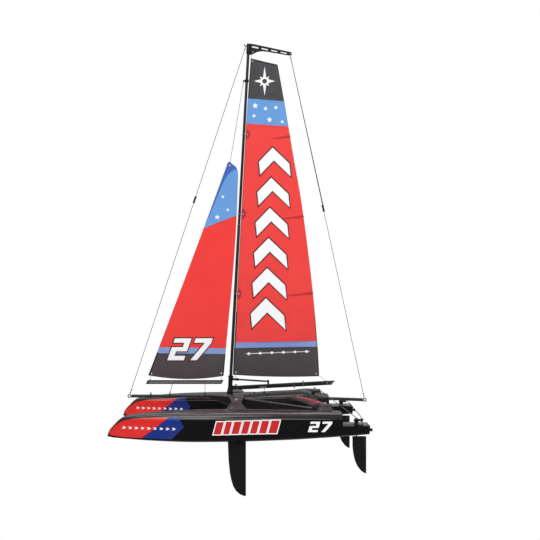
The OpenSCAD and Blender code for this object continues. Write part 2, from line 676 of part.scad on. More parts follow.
module switch_slider() color("#c0392b") translate([-69.5, -26.8, 47.7]) {
  cube([4.2, 4.0, 2.8]);
  for (i = [0:2]) box([0.5 + 1.3 * i, -0.4, 0], [0.6, 0.5, 2.8]);
}
module sheet_fairleads() color("#d8d8da") {
  for (x = fairlead_x) translate([x, 0, lookup(x, pod_top) + 0.1]) difference() {
    union() {
      post([0, 0, -6], 1.2, 6.5);
      cylinder(r = 2.2, h = 0.9);
    }
    post([0, 0, -7], 0.75, 10);
  }
  // banded eyes along the bowsprit
  for (x = [jib_pivot_x, jib_sheet_x, 130]) translate([x, 0, bowsprit_z]) {
    rotate([0, 90, 0]) translate([0, 0, -1.2]) tube(tube_r + 0.75, tube_r + 0.04, 2.4);
    translate([0, 0.6, tube_r + 2.0]) rotate([90, 0, 0]) difference() {
      cylinder(r = 1.5, h = 1.2);
      post([0, 0, -1], 0.7, 4);
    }
  }
}

// ---- main boom, turning about the mast ----
boom_pin_x = -6.4;                 // gooseneck pin
vang_root = [-6.5, 0, 21.2];
vang_end = [-62.6, 0, 20.6];

module gooseneck() color("#101012") difference() {
  mast_frame() {
    post([0, 0, 3.2], 3.6, 23.6);
    for (z = [3.2, 24.2]) post([0, 0, z], 4.3, 2.6);
    box([-8.6, -2.4, boom_z - 2.3], [6.4, 4.8, boom_h]);
    box([-6.4, -1.6, 19.4], [5, 3.2, 3.6]);
  }
  mast_frame() post([0, 0, -1], mast_r + run_gap, 60);
  boom_frame() {
    box([-9.4, -boom_t / 2 - 0.06, -5], [5.2, boom_t + 0.12, 10]);
    cross_pin([boom_pin_x, 0], 0.7);
  }
}
module main_boom() color("#1d1d20") boom_frame() difference() {
  side_plate([[-4.4, -1.7], [-4.4, 1.7], [-9.6, 2.1], [-16, boom_h / 2],
    [-boom_length, boom_h / 2], [-boom_length + 5, -boom_h / 2], [-16, -boom_h / 2],
    [-9.6, -2.1]], boom_t);
  for (x = [-50, -54, -58]) cross_pin([x, -1.2], 0.9);
  cross_pin([-boom_length + 11, 0], 0.9);
  cross_pin([boom_pin_x, 0], 0.66);
}
module vang_strut() color("#151517") {
  mast_frame() {
    bar(vang_root, vang_end, 1.1);
    bar(vang_root, [-13.8, 0, 21.1], 1.9);     // adjuster barrel
  }
  boom_frame() translate([-62.9, 0, boom_h / 2 + 0.03]) {
    cylinder(r = 1.5, h = 5.2);
    translate([0, 0, 5.2]) sphere(r = 1.9);
  }
}

// ---- mainsail: s runs 0 to 1 up the sail, u runs 0 to 1 from luff to leech ----
main_foot = 28.3;
main_head = 549;
// [height up the mast, leech's distance aft of the mast axis]
main_leech = [[30, 144.8], [36, 144.5], [71, 140.9], [91.7, 138.1], [147, 130.7],
  [219, 119.2], [321.5, 100.3], [398, 82.9], [431, 75.7], [473.5, 66.6], [513, 57.5],
  [541, 50.9], [549, 49.1]];
// [s, luff's distance aft of the mast axis]
main_luff = [[0, 3.4], [0.06, 3.0], [0.82, 2.8], [0.92, 3.7], [1, 4.6]];
main_stations = [0, 0.12, 0.25, 0.4, 0.55, 0.7, 0.82, 0.92, 1];
chord_shares = [for (u = [0:0.125:1]) u];
eyelet_s = [0.256, 0.508, 0.759];
eyelet_inset = 2.6;                // eyelet centre aft of the luff
ring_front = 3.6;                  // front of the luff rings, ahead of the mast axis
battens = [[0.2618, 46], [0.508, 34], [0.7632, 26]];     // s, length

// Sideways depth of a sail's belly; base is its share at foot and head.
function belly(chord, s, u, base) =
  -sail_camber * chord * 4 * u * (1 - u) * (base + (1 - base) * sin(180 * s));
function luff_aft(s) = lookup(s, main_luff);
function leech_aft(s) = smooth(mix(30, main_head, s), main_leech);
function main_point(s, u, offset) = let (
    foot = main_foot + 5.3 * u - 9 * u * (1 - u),
    head = main_head - 8 * u,
    chord = leech_aft(s) - luff_aft(s))
  [-(luff_aft(s) + chord * u), belly(chord, s, u, 0.55) + offset, mix(foot, head, s)];
// A patch of the mainsail with half thickness t.
module main_patch(heights, shares, t)
  film([for (s = heights) concat(
    [for (u = shares) main_point(s, u, t)],
    [for (i = [len(shares) - 1:-1:0]) main_point(s, shares[i], -t)])]);
// Strip at each batten; extra values grow it into the slot that holds it.
module batten_strips(half_height, start_extra, end, t)
  for (row = battens) {
    s = row[0];
    start = 1 - row[1] / (leech_aft(s) - 4) - start_extra;
    main_patch([s - half_height, s + half_height],
      [for (k = [0:3]) mix(start, end, k / 3)], t);
  }
module mainsail() color("#e23b3b") mast_frame() difference() {
  main_patch(main_stations, chord_shares, sail_t / 2);
  batten_strips(half_height = 0.0034, start_extra = 0.001, end = 1.02, t = 2);
  for (s = eyelet_s)
    cross_pin([-luff_aft(s) - eyelet_inset, mix(main_foot, main_head, s)], 0.9);
}
module sail_battens() color("#a02525") mast_frame()
  batten_strips(half_height = 0.0033, start_extra = 0, end = 1.002, t = 0.6);
module luff_rings() color("#c9c9c9") mast_frame() for (s = eyelet_s) {
  r = (luff_aft(s) + eyelet_inset + ring_front) / 2;
  translate([ring_front - r, 0, mix(main_foot, main_head, s)])
    rotate_extrude($fn = 40) translate([r, 0]) circle(r = 0.35, $fn = 16);
}
module sail_ties() color("#b9b9b9") mast_frame() {
  cord([-boom_length + 12, 0, 27.4], [-145.3, 0, 34.2]);
  cord([-6.9, 0, 24.0], [-6.7, 0, 27.5]);
  cord([-5, 0, 549.8], [-4.2, 0, 554.6]);
}
module main_sheet() color("#b9b9b9") cord([fairlead_x[0], 0, 63], [fairlead_x[0], 0, 67.9]);

// ---- balanced jib: s and u as on the mainsail ----
jib_boom_t = 1.6;
jib_head = 440;
// [height, leech x]
jib_leech = [[84, 11.2], [90.1, 10.2], [134, 6.4], [173, 2.9], [236, -3.2], [300, -8.2],
  [346, -10.9], [400, -12.8], [424.2, -13.2], [432, -9.8], [437, -3.6], [440.6, 0.6]];
jib_stations = [0, 0.12, 0.25, 0.4, 0.55, 0.7, 0.83, 0.92, 0.965, 0.985, 1];

function jib_point(s, u, offset) = let (
    foot = 89.6 - 0.9 * u - 5.9 * 4 * u * (1 - u),
    luff_x = mix(134.2, 3.2, s) - 3.2 * s * (1 - s),
    chord = luff_x - smooth(mix(90.5, jib_head, s), jib_leech))
  [luff_x - chord * u, belly(chord, s, u, 0.5) + offset, mix(foot, jib_head, s)];
module jib_boom() color("#3a3a3c") translate([0, 0, 78.6]) difference() {
  half_h = (boom_h - 0.2) / 2;
  side_plate([[138.4, -half_h], [134.8, half_h], [10.4, half_h], [14, -half_h]], jib_boom_t);
  for (x = [131.6, 122, 94.5, 73.5, jib_sheet_x, 26, 14.6])
    translate([x, jib_boom_t, 0]) rotate([90, 0, 0]) cylinder(r = 0.5, h = 3 * jib_boom_t);
}
module jib_sail() color("#e02f2f")
  film([for (s = jib_stations) concat(
    [for (u = chord_shares) jib_point(s, u, sail_t / 2)],
    [for (u = [1:-0.125:0]) jib_point(s, u, -sail_t / 2)])]);
module jib_rigging() color("#bdbdbd") {
  cord([97.2, 0, 62.2], [94.6, 0, 75.0]);          // pivot cord, bowsprit to boom
  cord([0.9, 0, 440.7], [-22.46, 0, 570.73]);      // hoist line
  cord([131.6, 0, 82.4], [131.9, 0, 88.6]);        // tack tie
  cord([13.8, 0, 82.4], [12.6, 0, 87.6]);          // clew tie
}
module jib_sheet() color("#bdbdbd") cord([jib_sheet_x, 0, 62.0], [jib_sheet_x, 0, 75.0]);

// ---- the pieces ----
place() port_hull();
place() port_deck();
place() starboard_hull();
place() starboard_deck();
place() port_daggerboard();
place() starboard_daggerboard();
place() front_beam();
place() rear_beam();
place() diagonal_struts();
place() pod_tub();
place() pod_hatch();
place() hatch_gasket();
place() hatch_screws();
place() beam_screws();
place() bowsprit_tube();
place() bowsprit_eye();
place() stern_tube();
place() stern_eye();
place() mast_step();
place() lower_mast();
place() upper_mast();
place() mast_ferrule();
place() masthead_crane();
place() jib_hoist_ring();
place() forestay();
place() backstay();
place() forestay_bowsie();
place() backstay_bowsie();
place() rudder_tubes();
place() drain_plugs();
place() battery_tray();
place() battery_cells();
place() receiver();
place() sail_servo();
place() sail_servo_arm();
place() rudder_servo();
place() rudder_servo_horn();
place() rudder_pushrod();
place() switch_body();
place() switch_slider();
place() sheet_fairleads();
place() port_rudder_blade();
place() port_rudder_stock();
place() port_tiller();
place() starboard_rudder_blade();
place() starboard_rudder_stock();
place() starboard_tiller();
place() tie_rod();
place() gooseneck();
place() main_boom();
place() vang_strut();
place() mainsail();
place() sail_battens();
place() luff_rings();
place() sail_ties();
place() main_sheet();
place() jib_boom();
place() jib_sail();
place() jib_rigging();
place() jib_sheet();
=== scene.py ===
"""Radio-controlled racing catamaran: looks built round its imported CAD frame.

Shapes are in millimetres in the design frame: +X to the bow, +Y to port, +Z up, the mast foot
at (0, 0, 62.4) and the keel line at z 0. to_world() turns them into metres. The mainsail and
its boom use the mast frame, (x, y, height up the mast), which leans aft by the rake.
"""
import bpy
import bmesh
import json
import math
from functools import lru_cache
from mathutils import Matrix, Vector
from mathutils.geometry import delaunay_2d_cdt


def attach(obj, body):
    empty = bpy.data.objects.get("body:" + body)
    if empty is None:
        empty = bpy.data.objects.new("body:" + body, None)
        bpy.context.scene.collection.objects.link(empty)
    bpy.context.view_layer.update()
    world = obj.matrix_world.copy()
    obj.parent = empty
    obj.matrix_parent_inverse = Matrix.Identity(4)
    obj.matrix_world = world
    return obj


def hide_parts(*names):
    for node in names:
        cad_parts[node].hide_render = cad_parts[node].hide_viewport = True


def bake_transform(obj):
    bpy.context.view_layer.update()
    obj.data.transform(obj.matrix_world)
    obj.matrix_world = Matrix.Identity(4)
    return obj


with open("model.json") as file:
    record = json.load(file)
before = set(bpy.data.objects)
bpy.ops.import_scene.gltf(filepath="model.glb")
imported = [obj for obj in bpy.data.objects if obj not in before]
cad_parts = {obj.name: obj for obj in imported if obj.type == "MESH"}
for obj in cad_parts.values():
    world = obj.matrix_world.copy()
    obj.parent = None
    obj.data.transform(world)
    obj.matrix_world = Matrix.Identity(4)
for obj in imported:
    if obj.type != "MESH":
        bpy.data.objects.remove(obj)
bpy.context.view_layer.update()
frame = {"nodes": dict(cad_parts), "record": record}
scene = bpy.context.scene

joints = frame["record"]["behaviour"]["joints"]
boom_swing = [joint for joint in joints if joint["name"] == "boom_swing"][0]
MAST_FOOT_Z = 62.4
SHIFT_X = boom_swing["pos_m"][0] * 1000
SHIFT_Z = boom_swing["pos_m"][2] * 1000 - MAST_FOOT_Z
RAKE = math.radians(3.1)
RAKE_COS, RAKE_SIN = math.cos(RAKE), math.sin(RAKE)
HULL_Y = 98.0  # hull centrelines lie at +HULL_Y (port) and -HULL_Y (starboard)
SIDEWAYS = Vector((0, 1, 0))


# ---------------------------------------------------------------- frames and curves
def to_world(p):
    return Vector(((p[0] + SHIFT_X) / 1000, p[1] / 1000, (p[2] + SHIFT_Z) / 1000))


def mast(p):
    """Mast frame to design frame."""
    x, y, height = p
    return (x * RAKE_COS - height * RAKE_SIN, y,
            MAST_FOOT_Z + x * RAKE_SIN + height * RAKE_COS)


def unmast(x, z):
    """Design plane (x, z) to mast frame (x, height)."""
    z -= MAST_FOOT_Z
    return x * RAKE_COS + z * RAKE_SIN, -x * RAKE_SIN + z * RAKE_COS


def clamp(value, low, high):
    return max(low, min(high, value))


def lerp(start, end, t):
    return start + (end - start) * t


def spread(start, end, count):
    return [lerp(start, end, i / count) for i in range(count + 1)]


def signed_power(value, exponent):
    return math.copysign(abs(value) ** exponent, value)


def curve_at(x, table):
    """Smooth curve through a table of (x, value)."""
    last = len(table) - 1
    i = 0
    while i < last - 1 and x > table[i + 1][0]:
        i += 1
    before, start = table[max(i - 1, 0)], table[i]
    end, after = table[i + 1], table[min(i + 2, last)]
    span = end[0] - start[0]
    t = clamp((x - start[0]) / span, 0, 1)
    slope0 = (end[1] - before[1]) / (end[0] - before[0]) * span
    slope1 = (after[1] - start[1]) / (after[0] - start[0]) * span
    return ((2*t**3 - 3*t*t + 1) * start[1] + (t**3 - 2*t*t + t) * slope0
            + (3*t*t - 2*t**3) * end[1] + (t**3 - t*t) * slope1)


def linear_at(x, stations, values):
    if x <= stations[0]:
        return values[0]
    for i in range(1, len(stations)):
        if x <= stations[i]:
            t = (x - stations[i-1]) / max(stations[i] - stations[i-1], 1e-9)
            return lerp(values[i-1], values[i], t)
    return values[-1]


# ------------------------------------------------------------------ materials
# Yarn patterns: darkest and lightest tone of a bundle, and how far the bundles wander
YARN = {"twill": (0.55, 1.6, 0.0), "braid": (0.7, 1.25, 1.5)}


def add_node(tree, kind, inputs=None, **settings):
    """Add a shader node and return its outputs; an input may be a value or another's output."""
    node = tree.nodes.new("ShaderNode" + kind)
    for name, value in settings.items():
        setattr(node, name, value)
    for key, value in (inputs or {}).items():
        if isinstance(value, bpy.types.NodeSocket):
            tree.links.new(value, node.inputs[key])
        else:
            node.inputs[key].default_value = value
    return node.outputs


def add_noise(tree, spot, scale, detail):
    return add_node(tree, "TexNoise", {"Vector": spot, "Scale": scale, "Detail": detail})["Fac"]


def add_wave(tree, spot, direction, scale, wander=0.0):
    return add_node(tree, "TexWave", {"Vector": spot, "Scale": scale, "Distortion": wander},
                    bands_direction=direction)["Fac"]


def remap(tree, value, source, target, **settings):
    return add_node(tree, "MapRange", {
        "Value": value, "From Min": source[0], "From Max": source[1],
        "To Min": target[0], "To Max": target[1]}, **settings)["Result"]


def srgb(*rgb):
    return tuple(((c / 255 + 0.055) / 1.055) ** 2.4 if c > 10 else c / 255 / 12.92 for c in rgb)


def material(name, color, rough, metal=0.0, spec=0.5, coat=0.0, coat_rough=0.05, var=0.06,
             scale=250.0, rough_var=0.05, bump=0.0, bump_scale=1500.0, sheen=0.0, weave=None,
             stretch=(1, 1, 1)):
    """Surface whose tone and roughness drift by var and rough_var over noise of that scale.

    bump is the strength of a relief at bump_scale: a weave if one is named, else fine noise.
    """
    made = bpy.data.materials.new(name)
    made.use_nodes = True
    tree = made.node_tree
    inputs = tree.nodes["Principled BSDF"].inputs
    inputs["Metallic"].default_value = metal
    inputs["Specular IOR Level"].default_value = spec
    inputs["Coat Weight"].default_value = coat
    inputs["Coat Roughness"].default_value = coat_rough
    if sheen:
        inputs["Sheen Weight"].default_value = sheen
        inputs["Sheen Roughness"].default_value = 0.5
    coords = add_node(tree, "TexCoord")["Object"]
    spot = add_node(tree, "Mapping", {"Vector": coords, "Scale": stretch})["Vector"]
    middle = (0.3, 0.7)  # the part of the noise that is used
    tone = remap(tree, add_noise(tree, spot, scale, 5), middle, (1 - var, 1 + var))
    color = add_node(tree, "VectorMath", {0: color, "Scale": tone}, operation="SCALE")["Vector"]
    gloss = remap(tree, add_noise(tree, spot, scale * 0.35, 3), middle,
                  (max(rough - rough_var, 0.02), rough + rough_var))
    tree.links.new(gloss, inputs["Roughness"])
    if weave in YARN:
        low, high, wander = YARN[weave]
        relief = add_wave(tree, spot, "DIAGONAL", bump_scale, wander)
        tone = remap(tree, relief, (0, 1), (low, high))
        color = add_node(tree, "VectorMath", {0: color, "Scale": tone},
                         operation="SCALE")["Vector"]
    elif weave == "ripstop":
        threads = [add_wave(tree, spot, direction, bump_scale) for direction in "XZ"]
        relief = add_node(tree, "Math", dict(enumerate(threads)), operation="MAXIMUM")["Value"]
    elif bump:
        relief = add_noise(tree, spot, bump_scale, 4)
    if bump:
        normal = add_node(tree, "Bump", {
            "Strength": bump, "Distance": 0.0002, "Height": relief})["Normal"]
        tree.links.new(normal, inputs["Normal"])
    tree.links.new(color, inputs["Base Color"])
    return made


HULL_BLACK = material(
    "hull_gloss_black", srgb(20, 19, 21), rough=0.13, spec=0.42, coat=0.5, coat_rough=0.04,
    var=0.10, scale=60, rough_var=0.03, bump=0.015, bump_scale=900)
DECK_BLACK = material(
    "deck_gloss_black", srgb(46, 42, 44), rough=0.24, coat=0.45, coat_rough=0.08,
    var=0.10, scale=60, rough_var=0.04, bump=0.02, bump_scale=900)
FOIL_BLACK = material(
    "foil_satin_black", srgb(27, 25, 26), rough=0.34, spec=0.42, var=0.10, scale=90,
    rough_var=0.06, bump=0.03, bump_scale=2200)
BEAM_BROWN = material(
    "beam_brown_black", srgb(74, 62, 64), rough=0.36, coat=0.15, coat_rough=0.2, var=0.12,
    scale=120, rough_var=0.06, bump=0.04, bump_scale=1300)
POD_BROWN = material(
    "pod_brown_black", srgb(36, 31, 33), rough=0.3, coat=0.2, coat_rough=0.15, var=0.10,
    scale=100, bump=0.03, bump_scale=1300)
NYLON = material(
    "nylon_black", srgb(24, 23, 24), rough=0.46, spec=0.4, var=0.12, scale=300, rough_var=0.08,
    bump=0.10, bump_scale=3500)
CARBON = material(
    "carbon_tube", srgb(34, 33, 35), rough=0.42, spec=0.35, coat_rough=0.1, var=0.10,
    scale=300, weave="twill", bump=0.06, bump_scale=420)
CLOTH = dict(rough=0.45, spec=0.35, var=0.12, scale=350, weave="twill", bump=0.10,
             bump_scale=520)
STRIP = material("carbon_strip", srgb(34, 33, 35), **CLOTH)
JIB_STRIP = material("jib_strip_grey", srgb(54, 52, 53), **CLOTH)
TUBE = material(
    "sprit_tube_dark", srgb(48, 46, 48), rough=0.42, spec=0.35, var=0.08, scale=200,
    rough_var=0.06, bump=0.03, bump_scale=2500, stretch=(0.15, 1, 1))
# in the set, but on no piece; so are cord_light and film_dark_blue
material("nylon_white", srgb(222, 222, 224), rough=0.35, var=0.03, scale=200, bump=0.05,
         bump_scale=2500)
STEEL = material(
    "stainless", (0.62, 0.62, 0.64), rough=0.20, metal=1.0, var=0.05, scale=400,
    rough_var=0.08, bump=0.03, bump_scale=4000)
ALLOY = material("satin_alloy", (0.52, 0.52, 0.53), rough=0.38, metal=0.8, scale=400,
                 rough_var=0.06)
STRIP_CORE = material(
    "strip_core_grey", srgb(112, 109, 109), rough=0.5, spec=0.3, var=0.16, scale=420,
    weave="twill", bump=0.1, bump_scale=520)
BRONZE = material("bronze_dark", (0.20, 0.17, 0.13), rough=0.34, metal=0.9, var=0.08,
                  scale=400, rough_var=0.08)
WIRE = material("blackened_wire", (0.15, 0.15, 0.16), rough=0.38, metal=0.8, scale=400,
                rough_var=0.06)
STRUT_GREY = material("strut_grey", srgb(112, 104, 106), rough=0.34, metal=0.35, var=0.08,
                      scale=300, rough_var=0.06)
EYE_ALLOY = material("eye_alloy", (0.26, 0.26, 0.27), rough=0.36, metal=0.7, scale=300,
                     rough_var=0.06)
BOLT = material("bolt_bright", (0.70, 0.70, 0.71), rough=0.42, metal=0.5, var=0.05, scale=400,
                rough_var=0.08)
RUBBER = material("rubber_black", srgb(22, 22, 23), rough=0.7, spec=0.3, var=0.12, scale=400,
                  bump=0.15, bump_scale=3000)
CELL_WRAP = material("cell_wrap", srgb(70, 130, 84), rough=0.3, scale=200)
CASE = dict(scale=300, bump=0.08, bump_scale=2500)
SERVO_CASE = material("servo_case", srgb(30, 33, 40), rough=0.4, **CASE)
RECEIVER_CASE = material("receiver_case", srgb(36, 40, 46), rough=0.45, **CASE)
SLIDER_RED = material("slider_red", srgb(190, 30, 28), rough=0.4, var=0.05, scale=300,
                      bump=0.05, bump_scale=2500)
CORD = dict(rough=0.75, spec=0.25, scale=900, weave="braid", bump=0.5, bump_scale=900,
            sheen=0.2)
material("cord_light", srgb(66, 66, 68), var=0.10, **CORD)
CORD_WHITE = material("cord_white", srgb(92, 92, 94), var=0.08, **CORD)
CORD_DARK = material("cord_dark", srgb(26, 26, 28), var=0.10, **CORD)
FILM = dict(rough=0.42, spec=0.42, weave="ripstop", bump=0.05, bump_scale=190, scale=28,
            rough_var=0.07, sheen=0.15)
FILM_RED = material("film_red", srgb(233, 57, 54), var=0.035, **FILM)
FILM_BRIGHT_RED = material("film_bright_red", srgb(236, 50, 46), var=0.035, **FILM)
# dark red of the luff tape, also the painted shade round the luff rings
FILM_DARK_RED = material("film_dark_red", srgb(176, 34, 36), var=0.05, **FILM)
# dark red of the batten tapes, also used for the painted shade wedges along the battens
FILM_BATTEN_AND_SHADE = material("film_batten_and_shade_red", srgb(196, 36, 38), var=0.05, **FILM)
FILM_BLUE = material("film_light_blue", srgb(96, 150, 212), var=0.035, **FILM)
FILM_MID_BLUE = material("film_mid_blue", srgb(54, 98, 180), var=0.04, **FILM)
material("film_dark_blue", srgb(38, 70, 150), var=0.05, **FILM)
FILM_LINE = material("film_line_blue", srgb(126, 152, 206), var=0.03, **FILM)
FILM_FOOT = material("film_charcoal", srgb(76, 69, 72), var=0.09, **FILM)
FILM_HEAD = material("film_head_charcoal", srgb(64, 62, 66), var=0.07, **FILM)
FILM_HEM = material("film_hem_black", srgb(34, 31, 33), var=0.08, **FILM)
FILM_WHITE = material("film_white", srgb(240, 242, 244), var=0.015, **FILM)
FILM_INK = material("film_ink", srgb(92, 24, 26), var=0.05, **FILM)
VINYL = dict(scale=60, bump=0.01)
VINYL_RED = material("vinyl_red", srgb(214, 34, 30), rough=0.25, coat=0.3, var=0.03, **VINYL)
VINYL_BLUE = material("vinyl_blue", srgb(20, 46, 126), rough=0.25, coat=0.3, var=0.04, **VINYL)
VINYL_WHITE = material("vinyl_white", srgb(240, 240, 242), rough=0.28, coat=0.2, var=0.02,
                       **VINYL)
VINYL_DEEP_RED = material("vinyl_deep_red", srgb(196, 32, 34), rough=0.25, coat=0.3, var=0.03,
                          **VINYL)
STRIPE_RED = material("paint_stripe_red", srgb(196, 52, 84), rough=0.22, coat=0.5, scale=120)


# -------------------------------------------------------------- objects and modifiers
def tidy(ob, weld=True):
    """Point the normals outwards, after welding stray vertices if asked."""
    bm = bmesh.new()
    bm.from_mesh(ob.data)
    if weld:
        bmesh.ops.remove_doubles(bm, verts=bm.verts, dist=1e-6)
        bmesh.ops.dissolve_degenerate(bm, edges=bm.edges, dist=1e-7)
    bmesh.ops.recalc_face_normals(bm, faces=bm.faces)
    bm.to_mesh(ob.data)
    bm.free()


def shade(ob, sharp):
    mesh = ob.data
    mesh.polygons.foreach_set("use_smooth", [True] * len(mesh.polygons))
    mesh.set_sharp_from_angle(angle=math.radians(sharp))
    mesh.update()


def mesh_object(name, solid, materials, body=None, sharp=32, face_materials=(),
                place=to_world):
    """Object from (vertices, faces); sharp is the edge angle, or None to leave it flat."""
    vertices, faces = solid
    mesh = bpy.data.meshes.new(name)
    mesh.from_pydata([tuple(place(v)) for v in vertices], [], [tuple(f) for f in faces])
    for item in materials if isinstance(materials, list) else [materials]:
        mesh.materials.append(item)
    for polygon, index in zip(mesh.polygons, face_materials):
        polygon.material_index = index
    mesh.update()
    ob = bpy.data.objects.new(name, mesh)
    scene.collection.objects.link(ob)
    tidy(ob, weld=False)
    if sharp is not None:
        shade(ob, sharp)
    if body:
        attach(ob, body)
    return ob


def label(ob, node=None):
    if node:
        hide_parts(node)


def add_piece(name, solids, material, body, node=None, sharp=32):
    """One object from several closed solids."""
    vertices, faces = [], []
    for more_vertices, more_faces in solids:
        offset = len(vertices)
        vertices += more_vertices
        faces += [tuple(i + offset for i in face) for face in more_faces]
    ob = mesh_object(name, (vertices, faces), material, body, sharp)
    label(ob, node)
    return ob


def modify(ob, kind, name, **settings):
    modifier = ob.modifiers.new(name, kind)
    for key, value in settings.items():
        setattr(modifier, key, value)


def apply_modifiers(ob):
    evaluated = ob.evaluated_get(bpy.context.evaluated_depsgraph_get())
    mesh = bpy.data.meshes.new_from_object(evaluated)
    old = ob.data
    ob.modifiers.clear()
    ob.data = mesh
    bpy.data.meshes.remove(old)


def add_bevel(ob, width, segments, angle):
    modify(ob, "BEVEL", "bevel", width=width / 1000, segments=segments, limit_method="ANGLE",
           angle_limit=math.radians(angle), use_clamp_overlap=True)


def boolean(ob, solid, operation="DIFFERENCE"):
    cutter = mesh_object("cutter", solid, NYLON, sharp=None)
    modify(ob, "BOOLEAN", "cut", operation=operation, solver="EXACT", object=cutter)
    apply_modifiers(ob)
    bpy.data.objects.remove(cutter, do_unlink=True)


def finish_shell(ob, node, sharp, bevel=None):
    """Weld and soften a moulding, attach it to the boat and hide the CAD part it stands for.
    bevel is (width, segments, angle).
    """
    tidy(ob)
    if bevel:
        add_bevel(ob, *bevel)
        apply_modifiers(ob)
        tidy(ob)
    shade(ob, sharp)
    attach(ob, "boat")
    label(ob, node)


def merge(objects, name, body):
    bpy.context.view_layer.update()
    bm = bmesh.new()
    materials = []
    for ob in objects:
        for item in ob.data.materials:
            if item not in materials:
                materials.append(item)
    for ob in objects:
        indices = [materials.index(item) for item in ob.data.materials]
        first = len(bm.faces)
        bm.from_mesh(ob.data)
        bm.faces.ensure_lookup_table()
        for face in bm.faces[first:]:
            face.material_index = indices[face.material_index]
    mesh = bpy.data.meshes.new(name)
    bm.to_mesh(mesh)
    bm.free()
    for item in materials:
        mesh.materials.append(item)
    for ob in objects:
        bpy.data.objects.remove(ob, do_unlink=True)
    merged = bpy.data.objects.new(name, mesh)
    scene.collection.objects.link(merged)
    shade(merged, 40)
    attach(merged, body)
    return merged


# ------------------------------------------------------------------------ solids
def loft(rings, closed=False):
    """Skin over equal rings: capped at both ends, or closed into a loop."""
    count, size = len(rings), len(rings[0])
    faces = []
    for i in range(count if closed else count - 1):
        after = (i + 1) % count
        for j in range(size):
            k = (j + 1) % size
            faces.append((i*size + j, i*size + k, after*size + k, after*size + j))
    if not closed:
        faces.append(tuple(range(size - 1, -1, -1)))
        faces.append(tuple((count-1)*size + j for j in range(size)))
    return [p for ring in rings for p in ring], faces


def box(low, high):
    vertices = [(x, y, z) for x in (low[0], high[0]) for y in (low[1], high[1])
                for z in (low[2], high[2])]
    return vertices, [(0, 1, 3, 2), (4, 6, 7, 5), (0, 4, 5, 1), (2, 3, 7, 6), (0, 2, 6, 4),
                      (1, 5, 7, 3)]


def ring_between(centre, first, second, radius, count):
    return [tuple(centre + (first * math.cos(2*math.pi*k/count)
                            + second * math.sin(2*math.pi*k/count)) * radius)
            for k in range(count)]


def axes_of(axis):
    unit = Vector(axis).normalized()
    first = unit.orthogonal().normalized()
    return unit, first, unit.cross(first)


def ring_about(centre, radius, axis, count):
    _, first, second = axes_of(axis)
    return ring_between(Vector(centre), first, second, radius, count)


def sweep(points, radius, segments=10, closed=False):
    """Tube along points; radius is one number, or a list with one for each point."""
    points = [Vector(p) for p in points]
    count = len(points)
    radii = radius if isinstance(radius, list) else [radius] * count
    tangents = []
    for i in range(count):
        before = points[(i - 1) % count] if closed else points[max(i - 1, 0)]
        after = points[(i + 1) % count] if closed else points[min(i + 1, count - 1)]
        tangents.append((after - before).normalized())
    up = Vector((0, 0, 1)) if abs(tangents[0].z) < 0.9 else Vector((1, 0, 0))
    across = tangents[0].cross(up).normalized()
    rings = []
    for point, tangent, size in zip(points, tangents, radii):
        across = (across - tangent * across.dot(tangent)).normalized()
        rings.append(ring_between(point, across, tangent.cross(across), size, segments))
    return loft(rings, closed)


def hoop(centre, radius, axis, count, thickness, shift=(0, 0, 0)):
    """Closed wire ring."""
    points = [tuple(Vector(p) + Vector(shift)) for p in ring_about(centre, radius, axis, count)]
    return sweep(points, thickness, 8, closed=True)


def lathe(start, axis, profile, segments=28):
    """Solid of revolution: profile is [(distance along the axis, radius)]."""
    unit = Vector(axis).normalized()
    return loft([ring_about(Vector(start) + unit*along, radius, axis, segments)
                 for along, radius in profile])


def knot(centre, radius, axis=(0, 0, 1)):
    """Overhand knot in cord of the given radius."""
    unit, first, second = axes_of(axis)
    points = []
    for i in range(28):
        t = 2 * math.pi * i / 28
        x = (math.sin(t) + 2*math.sin(2*t)) * 0.62
        y = (math.cos(t) - 2*math.cos(2*t)) * 0.62
        z = -math.sin(3*t) * 0.8
        points.append(tuple(Vector(centre) + (first*x + second*y + unit*z) * radius * 1.15))
    return sweep(points, radius * 0.9, 8, closed=True)


# -------------------------------------------------- flat artwork laid on a surface
def inside(x, y, polygon):
    within = False
    last_x, last_y = polygon[-1]
    for next_x, next_y in polygon:
        if ((next_y > y) != (last_y > y)
                and x < (last_x - next_x) * (y - next_y) / (last_y - next_y) + next_x):
            within = not within
        last_x, last_y = next_x, next_y
    return within


def extent(polygon):
    xs, ys = zip(*polygon)
    return min(xs), max(xs), min(ys), max(ys)


def subdivide(polygon, step):
    points = []
    for i, start in enumerate(polygon):
        end = polygon[(i + 1) % len(polygon)]
        count = max(1, int(math.ceil(math.hypot(end[0]-start[0], end[1]-start[1]) / step)))
        for j in range(count):
            points.append((lerp(start[0], end[0], j/count), lerp(start[1], end[1], j/count)))
    return points


def offset_polygon(polygon, distance):
    """Grow a simple polygon with mitred corners."""
    count = len(polygon)
    area = sum(polygon[i][0]*polygon[(i+1) % count][1] - polygon[(i+1) % count][0]*polygon[i][1]
               for i in range(count))
    turn = 1 if area > 0 else -1
    grown = []
    for i in range(count):
        before, here = Vector(polygon[i-1]), Vector(polygon[i])
        after = Vector(polygon[(i+1) % count])
        arriving, leaving = (here - before).normalized(), (after - here).normalized()
        normal1 = Vector((arriving.y, -arriving.x)) * turn
        normal2 = Vector((leaving.y, -leaving.x)) * turn
        spread_out = max(1 + normal1.dot(normal2), 0.35)
        grown.append(tuple(here + (normal1 + normal2) * (distance / spread_out)))
    return grown


def circle(x, y, radius, count):
    return [(x + radius*math.cos(2*math.pi*i/count), y + radius*math.sin(2*math.pi*i/count))
            for i in range(count)]


def star(x, y, radius, points, inner, turn):
    """inner is the notch radius as a share of the tip radius; turn is in degrees."""
    return [(x + (radius if i % 2 == 0 else radius * inner)
             * math.cos(math.radians(turn + 180*i/points)),
             y + (radius if i % 2 == 0 else radius * inner)
             * math.sin(math.radians(turn + 180*i/points))) for i in range(2*points)]


